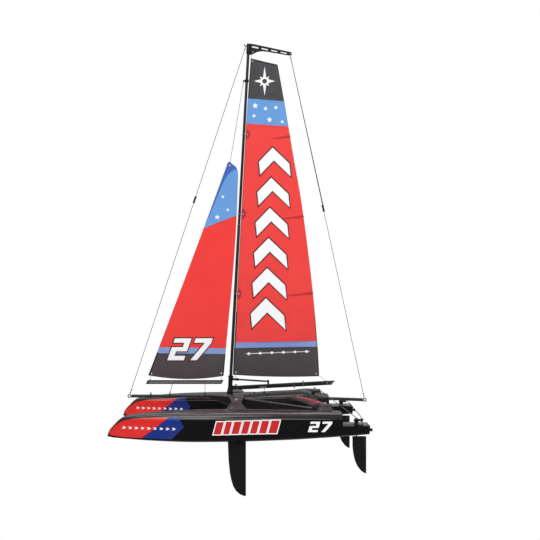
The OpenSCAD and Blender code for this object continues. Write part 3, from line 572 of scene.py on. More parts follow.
def region_finder(regions):
    """Gives the index of the last region that holds a point, or 0."""
    boxed = [(polygon, index, extent(polygon)) for polygon, index in regions]

    def find(x, y):
        found = 0
        for polygon, index, (x0, x1, y0, y1) in boxed:
            if x0 <= x <= x1 and y0 <= y <= y1 and inside(x, y, polygon):
                found = index
        return found
    return find


def triangulate(outline, holes, front, back, step):
    """Points, triangles, and each triangle's region index on the front and on the back."""
    polygons = [outline] + list(holes) + [polygon for polygon, _ in front]
    polygons += [p for p, _ in back if all(p is not other for other, _ in front)]
    points, edges = [], []
    for polygon in polygons:
        first, count = len(points), len(polygon)
        points += [Vector(p) for p in polygon]
        edges += [(first + i, first + (i + 1) % count) for i in range(count)]
    # a staggered grid fills the inside
    x0, x1, y0, y1 = extent(outline)
    row = 0
    y = y0 + step * 0.5
    while y < y1:
        x = x0 + (step * 0.5 if row % 2 else 0) + 0.013
        while x < x1:
            if inside(x, y, outline):
                points.append(Vector((x, y)))
            x += step
        y += step * 0.866
        row += 1
    points, _, cells, _, _, _ = delaunay_2d_cdt(points, edges, [], 0, 1e-4, False)
    find_front, find_back = region_finder(front), region_finder(back)
    triangles, front_tags, back_tags = [], [], []
    for cell in cells:
        x = sum(points[k][0] for k in cell) / len(cell)
        y = sum(points[k][1] for k in cell) / len(cell)
        if not inside(x, y, outline) or any(inside(x, y, hole) for hole in holes):
            continue
        a, b, c = (points[k] for k in cell[:3])
        area = (b[0]-a[0])*(c[1]-a[1]) - (b[1]-a[1])*(c[0]-a[0])
        if abs(area) < 1e-7:
            continue
        triangles.append(tuple(cell) if area > 0 else (cell[0], cell[2], cell[1]))
        front_tags.append(find_front(x, y))
        back_tags.append(find_back(x, y))
    used = sorted({k for triangle in triangles for k in triangle})
    number = {k: i for i, k in enumerate(used)}
    return ([(points[k][0], points[k][1]) for k in used],
            [tuple(number[k] for k in triangle) for triangle in triangles],
            front_tags, back_tags)


def sheet(name, outline, materials, surface, layers, step, body=None, regions=(), back=None,
          holes=(), sharp=40):
    """Thin closed sheet on surface(p) -> (point, normal).

    layers are the distances of its two faces along the normal. regions are (polygon,
    material), later ones on top; back holds those of the second face if they differ.
    """
    def numbered(painted):
        return [(polygon, materials.index(item)) for polygon, item in painted]

    front = numbered(regions)
    back = front if back is None else numbered(back)
    points, triangles, front_tags, back_tags = triangulate(outline, holes, front, back, step)
    count = len(points)
    outer, inner = [], []
    for p in points:
        centre, normal = map(Vector, surface(p))
        outer.append(centre + normal * layers[0])
        inner.append(centre + normal * layers[1])
    faces = triangles + [tuple(count + k for k in reversed(t)) for t in triangles]
    indices = front_tags + back_tags
    sides = {}
    for (a, b, c), tag in zip(triangles, front_tags):
        for edge in ((a, b), (b, c), (c, a)):
            sides[edge] = tag
    for (a, b), tag in sides.items():
        if (b, a) not in sides:
            faces.append((a, count + a, count + b, b))
            indices.append(tag)
    return mesh_object(name, (outer + inner, faces), materials, body, sharp, indices)


DIGIT = {
    "2": [(0, 1), (0.62, 1), (0.62, 0.41), (0.21, 0.41), (0.21, 0.2), (0.62, 0.2), (0.62, 0),
          (0, 0), (0, 0.6), (0.41, 0.6), (0.41, 0.8), (0, 0.8)],
    "7": [(0, 1), (0.64, 1), (0.64, 0.78), (0.32, 0), (0.08, 0), (0.40, 0.8), (0, 0.8)],
}


def race_number(start_x, start_z, height, lean, widen, along):
    """Block numerals of the race number; along is the sign of X in which it reads."""
    polygons = []
    pen = 0.0
    for digit in "27":
        polygons.append([((pen + x * widen + lean * z) * height * along + start_x,
                          start_z + z * height) for x, z in DIGIT[digit]])
        pen += (0.62 + 0.16) * widen
    return polygons


# ---------------------------------------------------------------------- hulls
# (share of the length from the stern, z of the keel)
KEEL = [(0, 11.7), (0.105, 8.4), (0.187, 6.1), (0.278, 3.9), (0.37, 2.3), (0.462, 1.0),
        (0.578, 0.1), (0.7, 0), (0.79, 1.1), (0.853, 2.3), (0.915, 4.0), (0.977, 6.0), (1, 7.6)]
# (share, z of the deck crown)
CROWN = [(0, 45.2), (0.104, 46.4), (0.233, 47.9), (0.382, 48.8), (0.532, 48.8), (0.633, 48.4),
         (0.738, 47.0), (0.808, 45.3), (0.873, 43.2), (0.907, 41.3), (0.932, 39.0),
         (0.948, 36.0), (0.964, 30.4), (0.979, 24.0), (0.987, 20.5), (0.9945, 16.5),
         (0.998, 13.2), (1, 9.6)]
# (share, half beam as a part of the widest)
BEAM = [(0, 0.80), (0.105, 0.89), (0.233, 0.964), (0.382, 1), (0.532, 1), (0.633, 0.964),
        (0.733, 0.855), (0.808, 0.727), (0.883, 0.545), (0.932, 0.373), (0.963, 0.245),
        (0.982, 0.145), (0.9945, 0.073), (1, 0.034)]
# rounded shoulder below the seam: (part of the half beam, part of the height)
SHOULDER = [(0.985, 0.655), (0.963, 0.708), (0.934, 0.752), (0.899, 0.793), (0.855, 0.834)]
STERN_X, HULL_LENGTH, HALF_BEAM = -213.0, 400.0, 22
STEP_X = -171.5  # the low aft deck meets the crowned deck here
STEP_Z = 26.4
SEAM_WIDTH = 0.80  # deck width at the seam as a part of the beam


def hull_share(x):
    return (x - STERN_X) / HULL_LENGTH


STEP_SHARE = hull_share(STEP_X)


def hull_section(share):
    """Heights of keel, widest point, seam and crown, then the half beam."""
    keel, crown = curve_at(share, KEEL), curve_at(share, CROWN)
    half = max(HALF_BEAM * curve_at(share, BEAM), 0.25)
    return keel, keel + 0.715*(crown - keel), keel + 0.873*(crown - keel), crown, half


def half_tub(share, count=15):
    """(y, z) of one side from the keel up to the seam."""
    keel, widest, seam, crown, half = hull_section(share)
    flat = 0.18 * half
    points = []
    for i in range(count):
        angle = 1.452 * (i / (count - 1)) ** 1.15
        points.append((flat + (half - flat) * math.sin(angle) ** 0.75,
                       widest - (widest - keel) * math.cos(angle) ** 0.85))
    points += [(half * width, lerp(keel, crown, rise)) for width, rise in SHOULDER]
    return points + [(half * SEAM_WIDTH, seam)]


@lru_cache(maxsize=None)
def side_profile(share):
    """Arc lengths from the seam down to the keel, with their y and z."""
    points = half_tub(share, 26)[::-1]
    lengths = [0.0]
    for start, end in zip(points, points[1:]):
        lengths.append(lengths[-1] + math.hypot(end[0]-start[0], end[1]-start[1]))
    return lengths, [p[0] for p in points], [p[1] for p in points]


def unroll(polygon, step):
    """Side-view (x, z) polygon to (x, arc length below the seam)."""
    points = []
    for x, z in subdivide(polygon, step):
        lengths, _, heights = side_profile(round(hull_share(x), 4))
        points.append((x, linear_at(-z, [-height for height in heights], lengths)))
    return points


def hull_at(x, depth):
    lengths, widths, heights = side_profile(round(clamp(hull_share(x), 0, 0.9995), 4))
    return linear_at(depth, lengths, widths), linear_at(depth, lengths, heights)


def hull_surface(centre_y, facing):
    """Maps (x, arc length) onto a hull's side; facing is +1 for its +Y side."""
    def surface(p):
        x, depth = p
        y, z = hull_at(x, depth)
        low_y, low_z = hull_at(x, depth + 0.5)
        high_y, high_z = hull_at(x, max(depth - 0.5, 0))
        fore_y, fore_z = hull_at(x + 1.0, depth)
        aft_y, aft_z = hull_at(x - 1.0, depth)
        down = Vector((0, (low_y - high_y) * facing, low_z - high_z))
        normal = down.cross(Vector((2.0, (fore_y - aft_y) * facing, fore_z - aft_z)))
        if normal.length < 1e-9:
            normal = Vector((0, facing, 0))
        normal.normalize()
        if normal.y * facing < 0 and abs(normal.y) > 0.02:
            normal = -normal
        elif normal.z > 0.5 and depth > 5:
            normal = -normal
        return (x, centre_y + y * facing, z), normal
    return surface


def hull_stations():
    """Shares of the length: even along the hull, then closing up towards the bow."""
    count = 72
    shares = [i / count for i in range(int(count * 0.86))]
    last = shares[-1]
    shares += [last + (1 - last) * math.sin(math.pi/2 * (i + 1) / 30) for i in range(30)]
    shares.append(STEP_SHARE)
    return sorted(set(round(share, 5) for share in shares if share <= 0.9999)) + [1.0]


def crown_arc(x, centre_y, half_width, base, height, count):
    """Arch across the deck from one seam to the other."""
    return [(x, centre_y + half_width*math.cos(math.pi*i/count),
             base + height * max(math.sin(math.pi*i/count), 0) ** 0.97)
            for i in range(count + 1)]


def build_tub(side, centre_y):
    rings = []
    for share in hull_stations():
        x = STERN_X + HULL_LENGTH * share
        half = half_tub(share)
        edge, seam = half[-1]
        rings.append([(x, centre_y + y, z) for y, z in half]
                     + [(x, centre_y + edge * t, seam) for t in (0.6, 0.2, -0.2, -0.6)]
                     + [(x, centre_y - y, z) for y, z in reversed(half)])
    tub = mesh_object(side + "_hull_shell", loft(rings), HULL_BLACK, sharp=None)
    boolean(tub, box((STERN_X - 30, centre_y - 60, STEP_Z), (STEP_X, centre_y + 60, 90)))
    finish_shell(tub, side + "_hull", 30, bevel=(0.7, 3, 50))


def build_deck(side, centre_y):
    round_length = 6.0  # the crown rises over this length at the step
    shares = [STEP_SHARE + (i / 9.0) ** 1.6 * 0.022 for i in range(10)]
    shares += [share for share in hull_stations() if STEP_SHARE + 0.026 < share < 0.9975]
    rings = []
    for share in shares:
        _, _, seam, crown, half = hull_section(share)
        x = STERN_X + HULL_LENGTH * share
        rise = math.sqrt(1 - (1 - clamp((x - STEP_X) / round_length, 0, 1)) ** 2)
        rise = 0.55 + 0.45 * rise
        base = seam + 0.22
        edge = SEAM_WIDTH * half
        rings.append(crown_arc(x, centre_y, edge, base, (crown - base) * rise, 22)
                     + [(x, centre_y - edge * t, base) for t in (0.5, 0.0, -0.5)])
    deck = mesh_object(side + "_deck_shell", loft(rings), DECK_BLACK, sharp=None)
    finish_shell(deck, side + "_deck", 34, bevel=(0.35, 2, 48))


# Decal outlines are in side view, (x, z)
BOW_RED_TOP_X = (184, 181, 177, 172, 166, 158, 148, 136, 124, 112, 100, 92)
BOW_RED_FOOT = [(134.0, 6.8), (150, 7.0), (165, 7.8), (176, 8.9), (182.5, 9.8)]
BOW_BLUE = [(91.4, 39.6), (78.0, 40.6), (69.0, 25.0), (88.0, 5.6), (133.0, 6.6)]
# leaning side bars: (aft x, fore x) from the foremost, and (bottom z, top z) on the port hull
BAR_X = [(13.5, 24.5), (1.0, 10.0), (-13.5, -2.5), (-27.0, -17.0), (-40.5, -30.5),
         (-55.0, -44.0), (-71.0, -58.5)]
BAR_Z = [(14.0, 33.0), (14.4, 33.6), (14.8, 33.8), (15.2, 34.2), (15.5, 34.6), (15.8, 35.0),
         (16.0, 35.4)]


def bow_decals(prefix, surface):
    layers = (0.10, -0.12)
    top = [(x, lerp(curve_at(hull_share(x), KEEL), curve_at(hull_share(x), CROWN), 0.845))
           for x in BOW_RED_TOP_X]
    red = [(185.0, 13.2)] + top + BOW_RED_FOOT
    for suffix, outline, vinyl in (("_bow_red", red, VINYL_RED),
                                   ("_bow_blue", BOW_BLUE, VINYL_BLUE)):
        sheet(prefix + suffix, unroll(outline, 2.2), [vinyl], surface, layers, 3.0, "boat")
    # row of small white arrowheads
    marks = []
    for i in range(9):
        x = 164.0 - 9.55 * i
        z = 22.5 - 0.007 * (164 - x)
        mark = [(x, z - 1.7), (x - 3.4, z - 1.7), (x - 6.2, z), (x - 3.4, z + 1.7),
                (x, z + 1.7), (x - 2.8, z)]
        marks.append(sheet(prefix + "_bow_mark_%d" % i, unroll(mark, 2.0), [VINYL_WHITE],
                           surface, (0.20, -0.02), 2.0, "boat"))
    merge(marks, prefix + "_bow_marks", "boat")


def side_decals(prefix, surface, facing):
    layers = (0.12, -0.10)
    lean = -5.0 * facing
    bars = []
    for i, ((aft, fore), (bottom, top)) in enumerate(zip(BAR_X, BAR_Z[::facing])):
        bar = [(aft, bottom), (fore, bottom), (fore + lean, top), (aft + lean, top)]
        bars.append(sheet(prefix + "_bar_%d" % i, unroll(offset_polygon(bar, 1.5), 2.2),
                          [VINYL_WHITE, VINYL_DEEP_RED], surface, layers, 2.4, "boat",
                          regions=[(unroll(bar, 2.2), VINYL_DEEP_RED)]))
    merge(bars, prefix + "_side_bars", "boat")
    numerals = race_number(start_x=-118.4 if facing > 0 else -156.4, start_z=17.6, height=16.0,
                           lean=0.26, widen=1.46, along=-facing)
    digits = [sheet(prefix + "_digit_%d" % i, unroll(digit, 2.0), [VINYL_WHITE], surface,
                    layers, 2.4, "boat") for i, digit in enumerate(numerals)]
    merge(digits, prefix + "_number", "boat")


for side, outward in (("port", 1), ("starboard", -1)):
    centre_y = outward * HULL_Y
    build_tub(side, centre_y)
    build_deck(side, centre_y)
    outer_side = hull_surface(centre_y, outward)
    bow_decals(side + "_outer", outer_side)
    side_decals(side + "_outer", outer_side, outward)
    bow_decals(side + "_inner", hull_surface(centre_y, -outward))


# ------------------------------------------------------------------ the pod
# (x, half width), (x, top z) and (x, bottom z) of the central pod
POD_WIDTH = [(-160, 7), (-152, 13), (-142, 20.5), (-130, 24), (-118, 25), (-60, 25),
             (-36, 24.6), (-26, 22), (-14, 17), (0, 12), (14, 8.5), (26, 5.6), (34, 4.2)]
POD_TOP = [(-160, 55.1), (-152, 56.2), (-142, 59), (-130, 62.3), (-120, 64.4), (-112, 64.2),
           (-60, 61.6), (-27, 60), (-14, 60.2), (0, 60), (14, 59.6), (26, 59.2), (34, 58.9)]
POD_BOTTOM = [(-160, 46.4), (-152, 39), (-142, 32.6), (-130, 30.4), (-118, 30), (-60, 30),
              (-36, 30.6), (-26, 32), (-14, 35.5), (0, 40), (14, 45.5), (26, 50), (34, 52.4)]
LID_SCREWS = [(-33, 12, 57.9), (-33, -12, 57.9), (-125.6, 15, 60.4), (-125.6, -15, 60.4)]


def pod_solid(stations, grow=0.0):
    rings = []
    for x in stations:
        width = curve_at(x, POD_WIDTH) + grow
        top, bottom = curve_at(x, POD_TOP) + grow, curve_at(x, POD_BOTTOM) - grow
        middle, half = (top + bottom) / 2, (top - bottom) / 2
        angles = [2*math.pi*(i+0.5)/56 for i in range(56)]
        rings.append([(x, width * signed_power(math.cos(a), 0.5),
                       middle + half * signed_power(math.sin(a), 0.5)) for a in angles])
    return loft(rings)


def build_pod():
    whole = pod_solid(spread(-160, 34, 97))
    tub = mesh_object("pod_shell", whole, POD_BROWN, sharp=None)
    lid = mesh_object("pod_lid", whole, POD_BROWN, sharp=None)
    # hatch opening, mast socket and switch recess
    boolean(tub, box((-129.0, -60, 56.6), (-27.0, 60, 90)))
    boolean(tub, lathe(mast((0, 0, -15)), (-RAKE_SIN, 0, RAKE_COS), [(0, 5.12), (40, 5.12)], 40))
    boolean(tub, box((-72, -40, 46), (-58.8, -18, 52.2)))
    # the lid is what the opening takes away, less a gap
    boolean(lid, box((-128.7, -60, 56.85), (-27.3, 60, 90)), "INTERSECT")
    for place in LID_SCREWS:
        boolean(lid, lathe(place, (0, 0, 1), [(0, 2.1), (30, 2.1)]))
    for ob, node in ((tub, "pod_tub"), (lid, "pod_hatch")):
        finish_shell(ob, node, 34, bevel=(0.45, 2, 55))


def build_lid_ribs():
    """Two raised ribs along the lid, tapered at their ends."""
    radii = [0.9 * min(1, 0.35 + min(i, 24 - i) * 0.22) for i in range(25)]
    ribs = [sweep([(x, y, curve_at(x, POD_TOP) - 0.15) for x in spread(-118, -44, 24)], radii)
            for y in (-9.5, 9.5)]
    add_piece("pod_lid_ribs", ribs, POD_BROWN, "boat")


build_pod()
build_lid_ribs()

# --------------------------------------------------------------- cross-beams
# beam stations: (y, x, z, chord, thickness)
FRONT_BEAM = [(14, -11, 57.9, 24.6, 6.2), (30, -11, 58.0, 24, 6.2), (50, -11, 58.4, 21, 6.2),
              (70, -11, 58.8, 18, 6.2), (84, -11, 58.9, 16.8, 6.4), (89, -10.6, 57.8, 15.6, 7.4)]
REAR_BEAM = [(16, -106, 53.6, 30, 8.6), (30, -109, 56.0, 27, 8.2), (50, -119, 56.6, 25, 7.4),
             (70, -131, 55.2, 25, 7.2), (84, -141, 52.4, 27, 8.4)]
SADDLE_Y = 89


def beam_section(rows, y):
    return [curve_at(y, [(row[0], row[k]) for row in rows]) for k in range(1, 5)]


def wing_ring(y, x, z, chord, thickness):
    return [(x + chord/2 * math.cos(2*math.pi*i/36), y,
             z - thickness/2 * math.sin(2*math.pi*i/36)) for i in range(36)]


def saddle(y, x, top_length, foot_length, top_z, foot_z):
    """Block from the beam down to the deck, flared towards its foot."""
    rings = []
    for i in range(17):
        flare = (1 - i / 16) ** 1.7
        z = lerp(foot_z, top_z, i / 16)
        length, width = lerp(top_length, foot_length, flare), lerp(9, 17, flare)
        rings.append([(x + length/2 * signed_power(math.cos(2*math.pi*k/40), 0.7),
                       y + width/2 * signed_power(math.sin(2*math.pi*k/40), 0.7), z)
                      for k in range(40)])
    return loft(rings)


def deck_solid(centre_y):
    """The deck grown by a slight gap, to seat the saddles."""
    gap, depth = 0.05, 14
    rings = []
    for i in range(24):
        share = 0.06 + 0.6 * i / 23
        _, _, seam, crown, half = hull_section(share)
        x = STERN_X + HULL_LENGTH * share
        edge = SEAM_WIDTH*half
        rings.append(crown_arc(x, centre_y, edge + gap, seam, crown + gap - seam, 24)
                     + [(x, centre_y - edge - gap, seam - depth),
                        (x, centre_y + edge + gap, seam - depth)])
    return loft(rings)


def build_beam(node, rows, saddle_sizes, pod_stations, cuts=()):
    vertices, faces = [], []
    for sign in (-1, 1):
        wing = loft([wing_ring(y * sign, *beam_section(rows, y))
                     for y in spread(rows[0][0], rows[-1][0], 18)])
        for more_vertices, more_faces in (wing, saddle(sign * SADDLE_Y, *saddle_sizes)):
            offset = len(vertices)
            vertices += more_vertices
            faces += [tuple(i + offset for i in face) for face in more_faces]
    ob = mesh_object(node + "_shell", (vertices, faces), BEAM_BROWN, sharp=None)
    # fuse the overlapping solids into one moulding
    modify(ob, "REMESH", "remesh", mode="VOXEL", voxel_size=0.55 / 1000)
    apply_modifiers(ob)
    modify(ob, "SMOOTH", "smooth", factor=0.5, iterations=6)
    apply_modifiers(ob)
    ob.data.materials.clear()
    ob.data.materials.append(BEAM_BROWN)
    for solid in (deck_solid(HULL_Y), deck_solid(-HULL_Y), pod_solid(pod_stations, 0.05), *cuts):
        boolean(ob, solid)
    finish_shell(ob, node, 38)


build_beam("front_beam", FRONT_BEAM, (-10.2, 16.2, 42, 60.4, 45.0), spread(-40, 20, 20),
           [box((-40, -14, 30), (40, 14, 90))])
build_beam("rear_beam", REAR_BEAM, (-147, 20, 30, 55.4, 43.4), spread(-155, -60, 24))

# stripe on each rear arm: (distance out from the centre, share of the chord from its fore edge)
STRIPE = [(33, 0.30), (42, 0.18), (80, 0.26), (86, 0.42), (80, 0.60), (42, 0.46)]
STRIPE_CHORD = 26  # chord length that the outline is laid out on


def arm_top(y, share):
    """Point on the upper side of a rear arm."""
    x, z, chord, thickness = beam_section(REAR_BEAM, abs(y))
    angle = math.acos(1 - 2*share)
    return Vector((x + chord/2 * math.cos(angle), y, z + thickness/2 * math.sin(angle)))


def build_stripe(side, sign):
    def surface(p):
        y, share = p[0] * sign, clamp(p[1] / STRIPE_CHORD, 0.02, 0.98)
        across = arm_top(y + 0.5, share) - arm_top(y - 0.5, share)
        along = arm_top(y, share + 0.01) - arm_top(y, share - 0.01)
        normal = across.cross(along).normalized()
        if normal.z < 0:
            normal = -normal
        return arm_top(y, share), normal

    outline = subdivide([(out, share * STRIPE_CHORD) for out, share in STRIPE], 2.0)
    label(sheet(side + "_arm_stripe", outline, [STRIPE_RED], surface, (0.16, -0.25), 2.2,
                "boat"))


build_stripe("port", 1)
build_stripe("starboard", -1)

# ------------------------------------------------------------------- sails
SAIL_LAYERS = (0.11, -0.11)
SAIL_STEP = 4.0


def crease(x, z, corner_x, corner_z, reach, folds, depth):
    """Soft folds fanning from a corner of a sail."""
    distance = math.hypot(x - corner_x, z - corner_z) / reach
    angle = math.atan2(z - corner_z, x - corner_x)
    return depth * math.sin(angle * folds) * math.exp(-distance) * min(1, distance * 4)


def cloth_normal(height_of, x, z):
    slope_x = (height_of(x + 1, z) - height_of(x - 1, z)) / 2
    slope_z = (height_of(x, z + 1) - height_of(x, z - 1)) / 2
    return Vector((-slope_x, 1, -slope_z)).normalized()


def add_eyelets(name, places, surface, metal, body):
    rings = []
    for place in places:
        centre, normal = surface(place)
        rings += [hoop(centre, 1.15, normal, 20, 0.34, Vector(normal) * 0.16 * sign)
                  for sign in (1, -1)]
    add_piece(name, rings, metal, body)


# Mainsail, in mast-frame (x, height). (height, distance of the leech aft of the mast axis):
LEECH = [(30, 144.8), (36, 144.5), (71, 140.9), (91.7, 138.1), (147, 130.7), (219, 119.2),
         (321.5, 100.3), (398, 82.9), (431, 75.7), (473.5, 66.6), (513, 57.5), (541, 50.9),
         (549, 49.1)]
# (x, height, reach, folds, depth) of the creases at the clew and the tack
MAIN_CREASES = [(-143, 36, 60, 11, 0.35), (-5, 30, 55, 9, 0.25)]
BATTEN_RISES = (0.2618, 0.508, 0.7632)
# corners round a batten, for its painted shade wedge and for its tape: (share of its length,
# shift in x, lift, tilt direction)
BATTEN_SHADE_WEDGE = [(0, -1, 3.4, 1), (0.45, 0, 2.6, 0), (1, 0, 0.5, -1), (1, 0, -0.3, -1),
                (0.45, 0, -1.4, 0), (0, -1, -1.6, 1)]
BATTEN_TAPE = [(0, 0.1, -1.3, 1), (0, 0.1, 2.1, 1), (0.6, 0, 1.5, 0), (1, 0, 0.5, -1),
               (1, 0, -0.4, -1), (0.6, 0, -1.4, 0)]
# (x, z, radius) in the design plane
MAIN_STARS = [(-41.5, 532.6, 5.2), (-58.5, 528.0, 3.7), (-75.5, 529.5, 3.7),
              (-39.6, 515.8, 3.5), (-65.0, 509.7, 5.0), (-86.0, 506.0, 3.4)]


def luff_gap(rise):
    """Distance of the luff aft of the mast axis."""
    return linear_at(rise, [0, 0.06, 0.82, 0.92, 1], [3.4, 3.0, 2.8, 3.7, 4.6])


def leech_at(rise):
    return curve_at(lerp(30, 549, rise), LEECH)


def main_edges(run):
    """Heights of foot and head at a share of the chord from the luff."""
    return 28.3 + 5.3*run - 9*run*(1 - run), 549 - 8*run


def main_at(rise, run):
    """(x, height) at shares of the sail's height and chord."""
    gap = luff_gap(rise)
    return -(gap + (leech_at(rise) - gap)*run), lerp(*main_edges(run), rise)


def main_shares(x, height):
    """Inverse of main_at, clamped to the sail, with the chord there."""
    run = 0.5
    for _ in range(6):
        foot, head = main_edges(clamp(run, 0, 1))
        rise = (height - foot) / (head - foot)
        inner = clamp(rise, 0, 1)
        chord = leech_at(inner) - luff_gap(inner)
        run = (-x - luff_gap(inner)) / chord
    return clamp(rise, 0, 1), clamp(run, 0, 1), chord


def main_y(x, height):
    rise, run, chord = main_shares(x, height)
    y = -0.03 * chord * 4*run*(1 - run) * (0.55 + 0.45*math.sin(math.pi*rise))
    for corner in MAIN_CREASES:
        y += crease(x, height, *corner)
    # ridges at the battens, then slow ripples
    for ridge in (157, 283, 415):
        y += (0.22 * math.exp(-((height - ridge) / 9) ** 2) * math.sin(math.pi * run)
              * math.sin(run * 7))
    y += 0.18 * math.sin(height * 0.045 + 2.2*run) * math.sin(math.pi * run)
    return y


def main_surface(p):
    x, height = p
    normal = cloth_normal(main_y, x, height)
    return mast((x, main_y(x, height), height)), (
        normal.x * RAKE_COS - normal.z * RAKE_SIN, normal.y,
        normal.x * RAKE_SIN + normal.z * RAKE_COS)


def main_outline():
    """Foot, leech, head and luff in turn."""
    return ([main_at(0, i / 24) for i in range(24)] + [main_at(i / 90, 1) for i in range(90)]
            + [main_at(1, 1 - i / 10) for i in range(10)]
            + [main_at(1 - i / 90, 0) for i in range(90)])


def on_main(polygon):
    return [unmast(*p) for p in polygon]


def edge_hem(run, low, high, width):
    """Band along the luff (run 0) or leech (run 1) between two rises, overlapping the edge."""
    fore, aft = (0.6, width) if run == 0 else (width, 0.6)
    points = [main_at(rise, run) for rise in spread(low, high, 60)]
    returning = [main_at(rise, run) for rise in spread(high, low, 60)]
    return [(x + fore, h) for x, h in points] + [(x - aft, h) for x, h in returning]


def batten_shape(rise, length, corners):
    leech, height = leech_at(rise), lerp(*main_edges(0.85), rise)
    tilt = length * 0.075
    return [(-leech + shift + length * share, height + lift + way * tilt)
            for share, shift, lift, way in corners]


def chevrons():
    """Column of six outlined chevrons."""
    art = []
    for i in range(6):
        t = i / 5
        centre_x, centre_z = lerp(-61.5, -72.5, t), lerp(191.0, 441.0, t)
        w, h, band = lerp(27.4, 25.0, t), lerp(25.0, 23.0, t), lerp(23.0, 21.0, t)
        shape = [(-w, -h), (-w, -h + band), (0, h), (w, -h + band), (w, -h), (0, h - band)]
        shape = [(centre_x + x + 0.10*z, centre_z + z + 0.06*x) for x, z in shape]
        art.append((on_main(subdivide(offset_polygon(shape, 2.1), 6)), FILM_INK))
        art.append((on_main(subdivide(shape, 6)), FILM_WHITE))
    return art


# painted shade: darker red half disc on the sail round each luff ring, standing in for the shade
# of the ring loop
def luff_ring_shade(rise):
    x, height = main_at(rise, 0)
    angles = [math.radians(-80 + 16*i) for i in range(11)]
    return ([(x + 0.5, height - 9)]
            + [(x - 7.5 * math.cos(a), height + 9 * math.sin(a)) for a in angles]
            + [(x + 0.5, height + 9)])


def main_art(luff_rises):
    # head, blue band, thin line and foot; corners in the design plane
    bands = [([(40, 549.6), (-150, 535.0), (-150, 760), (40, 760)], FILM_HEAD),
             ([(40, 549.6), (-150, 535.0), (-150, 495.2), (40, 507.2)], FILM_BLUE),
             ([(40, 142.8), (-200, 147.0), (-200, 137.4), (40, 133.4)], FILM_LINE),
             ([(40, 133.4), (-200, 137.4), (-200, 0), (40, 0)], FILM_FOOT)]
    art = [(on_main(polygon), film) for polygon, film in bands]
    art += [(on_main(star(x, z, radius, 5, 0.44, 84)), FILM_WHITE)
            for x, z, radius in MAIN_STARS]
    # compass rose on the head
    x, z = -57.0, 573.0
    points = [(x + (px - x) * 0.72, pz) for px, pz in star(x, z, 24.0, 4, 0.24, 90)]
    art.append((on_main(points), FILM_WHITE))
    art.append((on_main(star(x, z, 11.5, 4, 0.34, 45)), FILM_WHITE))
    art.append((on_main(star(x, z, 4.2, 8, 0.92, 90)), FILM_HEAD))
    # painted shade: dark red wedge along each batten, darker than the sail's red
    art += [(batten_shape(rise, length, BATTEN_SHADE_WEDGE), FILM_BATTEN_AND_SHADE)
            for rise, length in zip(BATTEN_RISES, (46, 36, 31))]
    art += chevrons()
    # fine line with lozenges across the foot
    rule = [(-26, 125.3), (-131, 129.2), (-131, 128.3), (-26, 124.4)]
    art.append((on_main(rule), FILM_WHITE))
    for i in range(6):
        x = -31 - 19 * i
        z = 124.9 - 0.037 * (x + 26)
        lozenge = [(x + 3.6, z), (x, z + 2.6), (x - 3.6, z), (x, z - 2.6)]
        art.append((on_main(lozenge), FILM_WHITE))
    art += [(edge_hem(0, 0.0, 0.20, 2.0), FILM_HEM), (edge_hem(0, 0.876, 1.0, 1.8), FILM_HEM),
            (edge_hem(0, 0.20, 0.80, 1.1), FILM_DARK_RED),
            (edge_hem(1, 0.0, 0.195, 1.2), FILM_HEM), (edge_hem(1, 0.93, 1.0, 1.2), FILM_HEM)]
    head = [(-(luff_gap(1) - 1 + (48 - luff_gap(1)) * k / 10), main_edges(k / 10)[1])
            for k in range(11)]
    art.append(([(x, h - 2.6) for x, h in head] + [(x, h + 2) for x, h in reversed(head)],
                FILM_HEM))
    # painted shade round the luff rings
    return art + [(luff_ring_shade(rise), FILM_DARK_RED) for rise in luff_rises]


def build_main():
    luff_rises = (0.256, 0.508, 0.759)
    luff_eyes = [(x - 2.6, height) for x, height in (main_at(rise, 0) for rise in luff_rises)]
    corner_eyes = [(-(luff_gap(0) + 5.0), main_edges(0.03)[0] + 4.4),
                   (-139.9, main_edges(0.97)[0] + 4.4), (-(luff_gap(1) + 3.0), 544.2)]
    holes = [circle(*eye, 0.9, 14) for eye in luff_eyes]
    holes += [circle(*eye, 0.8, 12) for eye in corner_eyes]
    films = [FILM_RED, FILM_HEAD, FILM_BLUE, FILM_LINE, FILM_FOOT, FILM_WHITE, FILM_INK,
             FILM_HEM, FILM_DARK_RED, FILM_BATTEN_AND_SHADE]
    sail = sheet("mainsail_film", main_outline(), films, main_surface, SAIL_LAYERS, SAIL_STEP,
                 "main_rig", regions=main_art(luff_rises), holes=holes, sharp=50)
    label(sail, "mainsail")
    add_eyelets("mainsail_eyelets", corner_eyes, main_surface, EYE_ALLOY, "main_rig")
    add_eyelets("mainsail_luff_eyelets", luff_eyes, main_surface, EYE_ALLOY, "main_rig")
    # batten tapes stand proud of both faces
    tapes = [sheet("tape", subdivide(batten_shape(rise, length, BATTEN_TAPE), 2.5),
                   [FILM_BATTEN_AND_SHADE], main_surface, (0.42, -0.42), 3.0)
             for rise, length in zip(BATTEN_RISES, (46, 34, 26))]
    label(merge(tapes, "batten_tapes", "main_rig"), "sail_battens")


build_main()

# Jib, in the design plane. (z, x of the leech):
JIB_LEECH = [(84, 11.2), (90.1, 10.2), (134, 6.4), (173, 2.9), (236, -3.2), (300, -8.2),
             (346, -10.9), (400, -12.8), (424.2, -13.2), (432, -9.8), (437, -3.6), (440.6, 0.6)]
JIB_CREASES = [(12, 91, 55, 10, 0.3), (131, 92, 55, 10, 0.3)]
# (z, width from the luff) of the blue head patch
JIB_HEAD = [(340, 0.8), (353, 1.6), (373, 2.6), (397, 3.9), (411, 5.2), (420, 8.0),
            (426, 13.0), (429.5, 22.0), (446, 22.0)]
JIB_STARS = [(11.6, 383.0, 3.0), (3.6, 361.6, 2.9), (20.8, 349.4, 4.8)]
JIB_EYES = [(128.6, 92.4), (14.0, 92.8), (0.2, 434.6)]


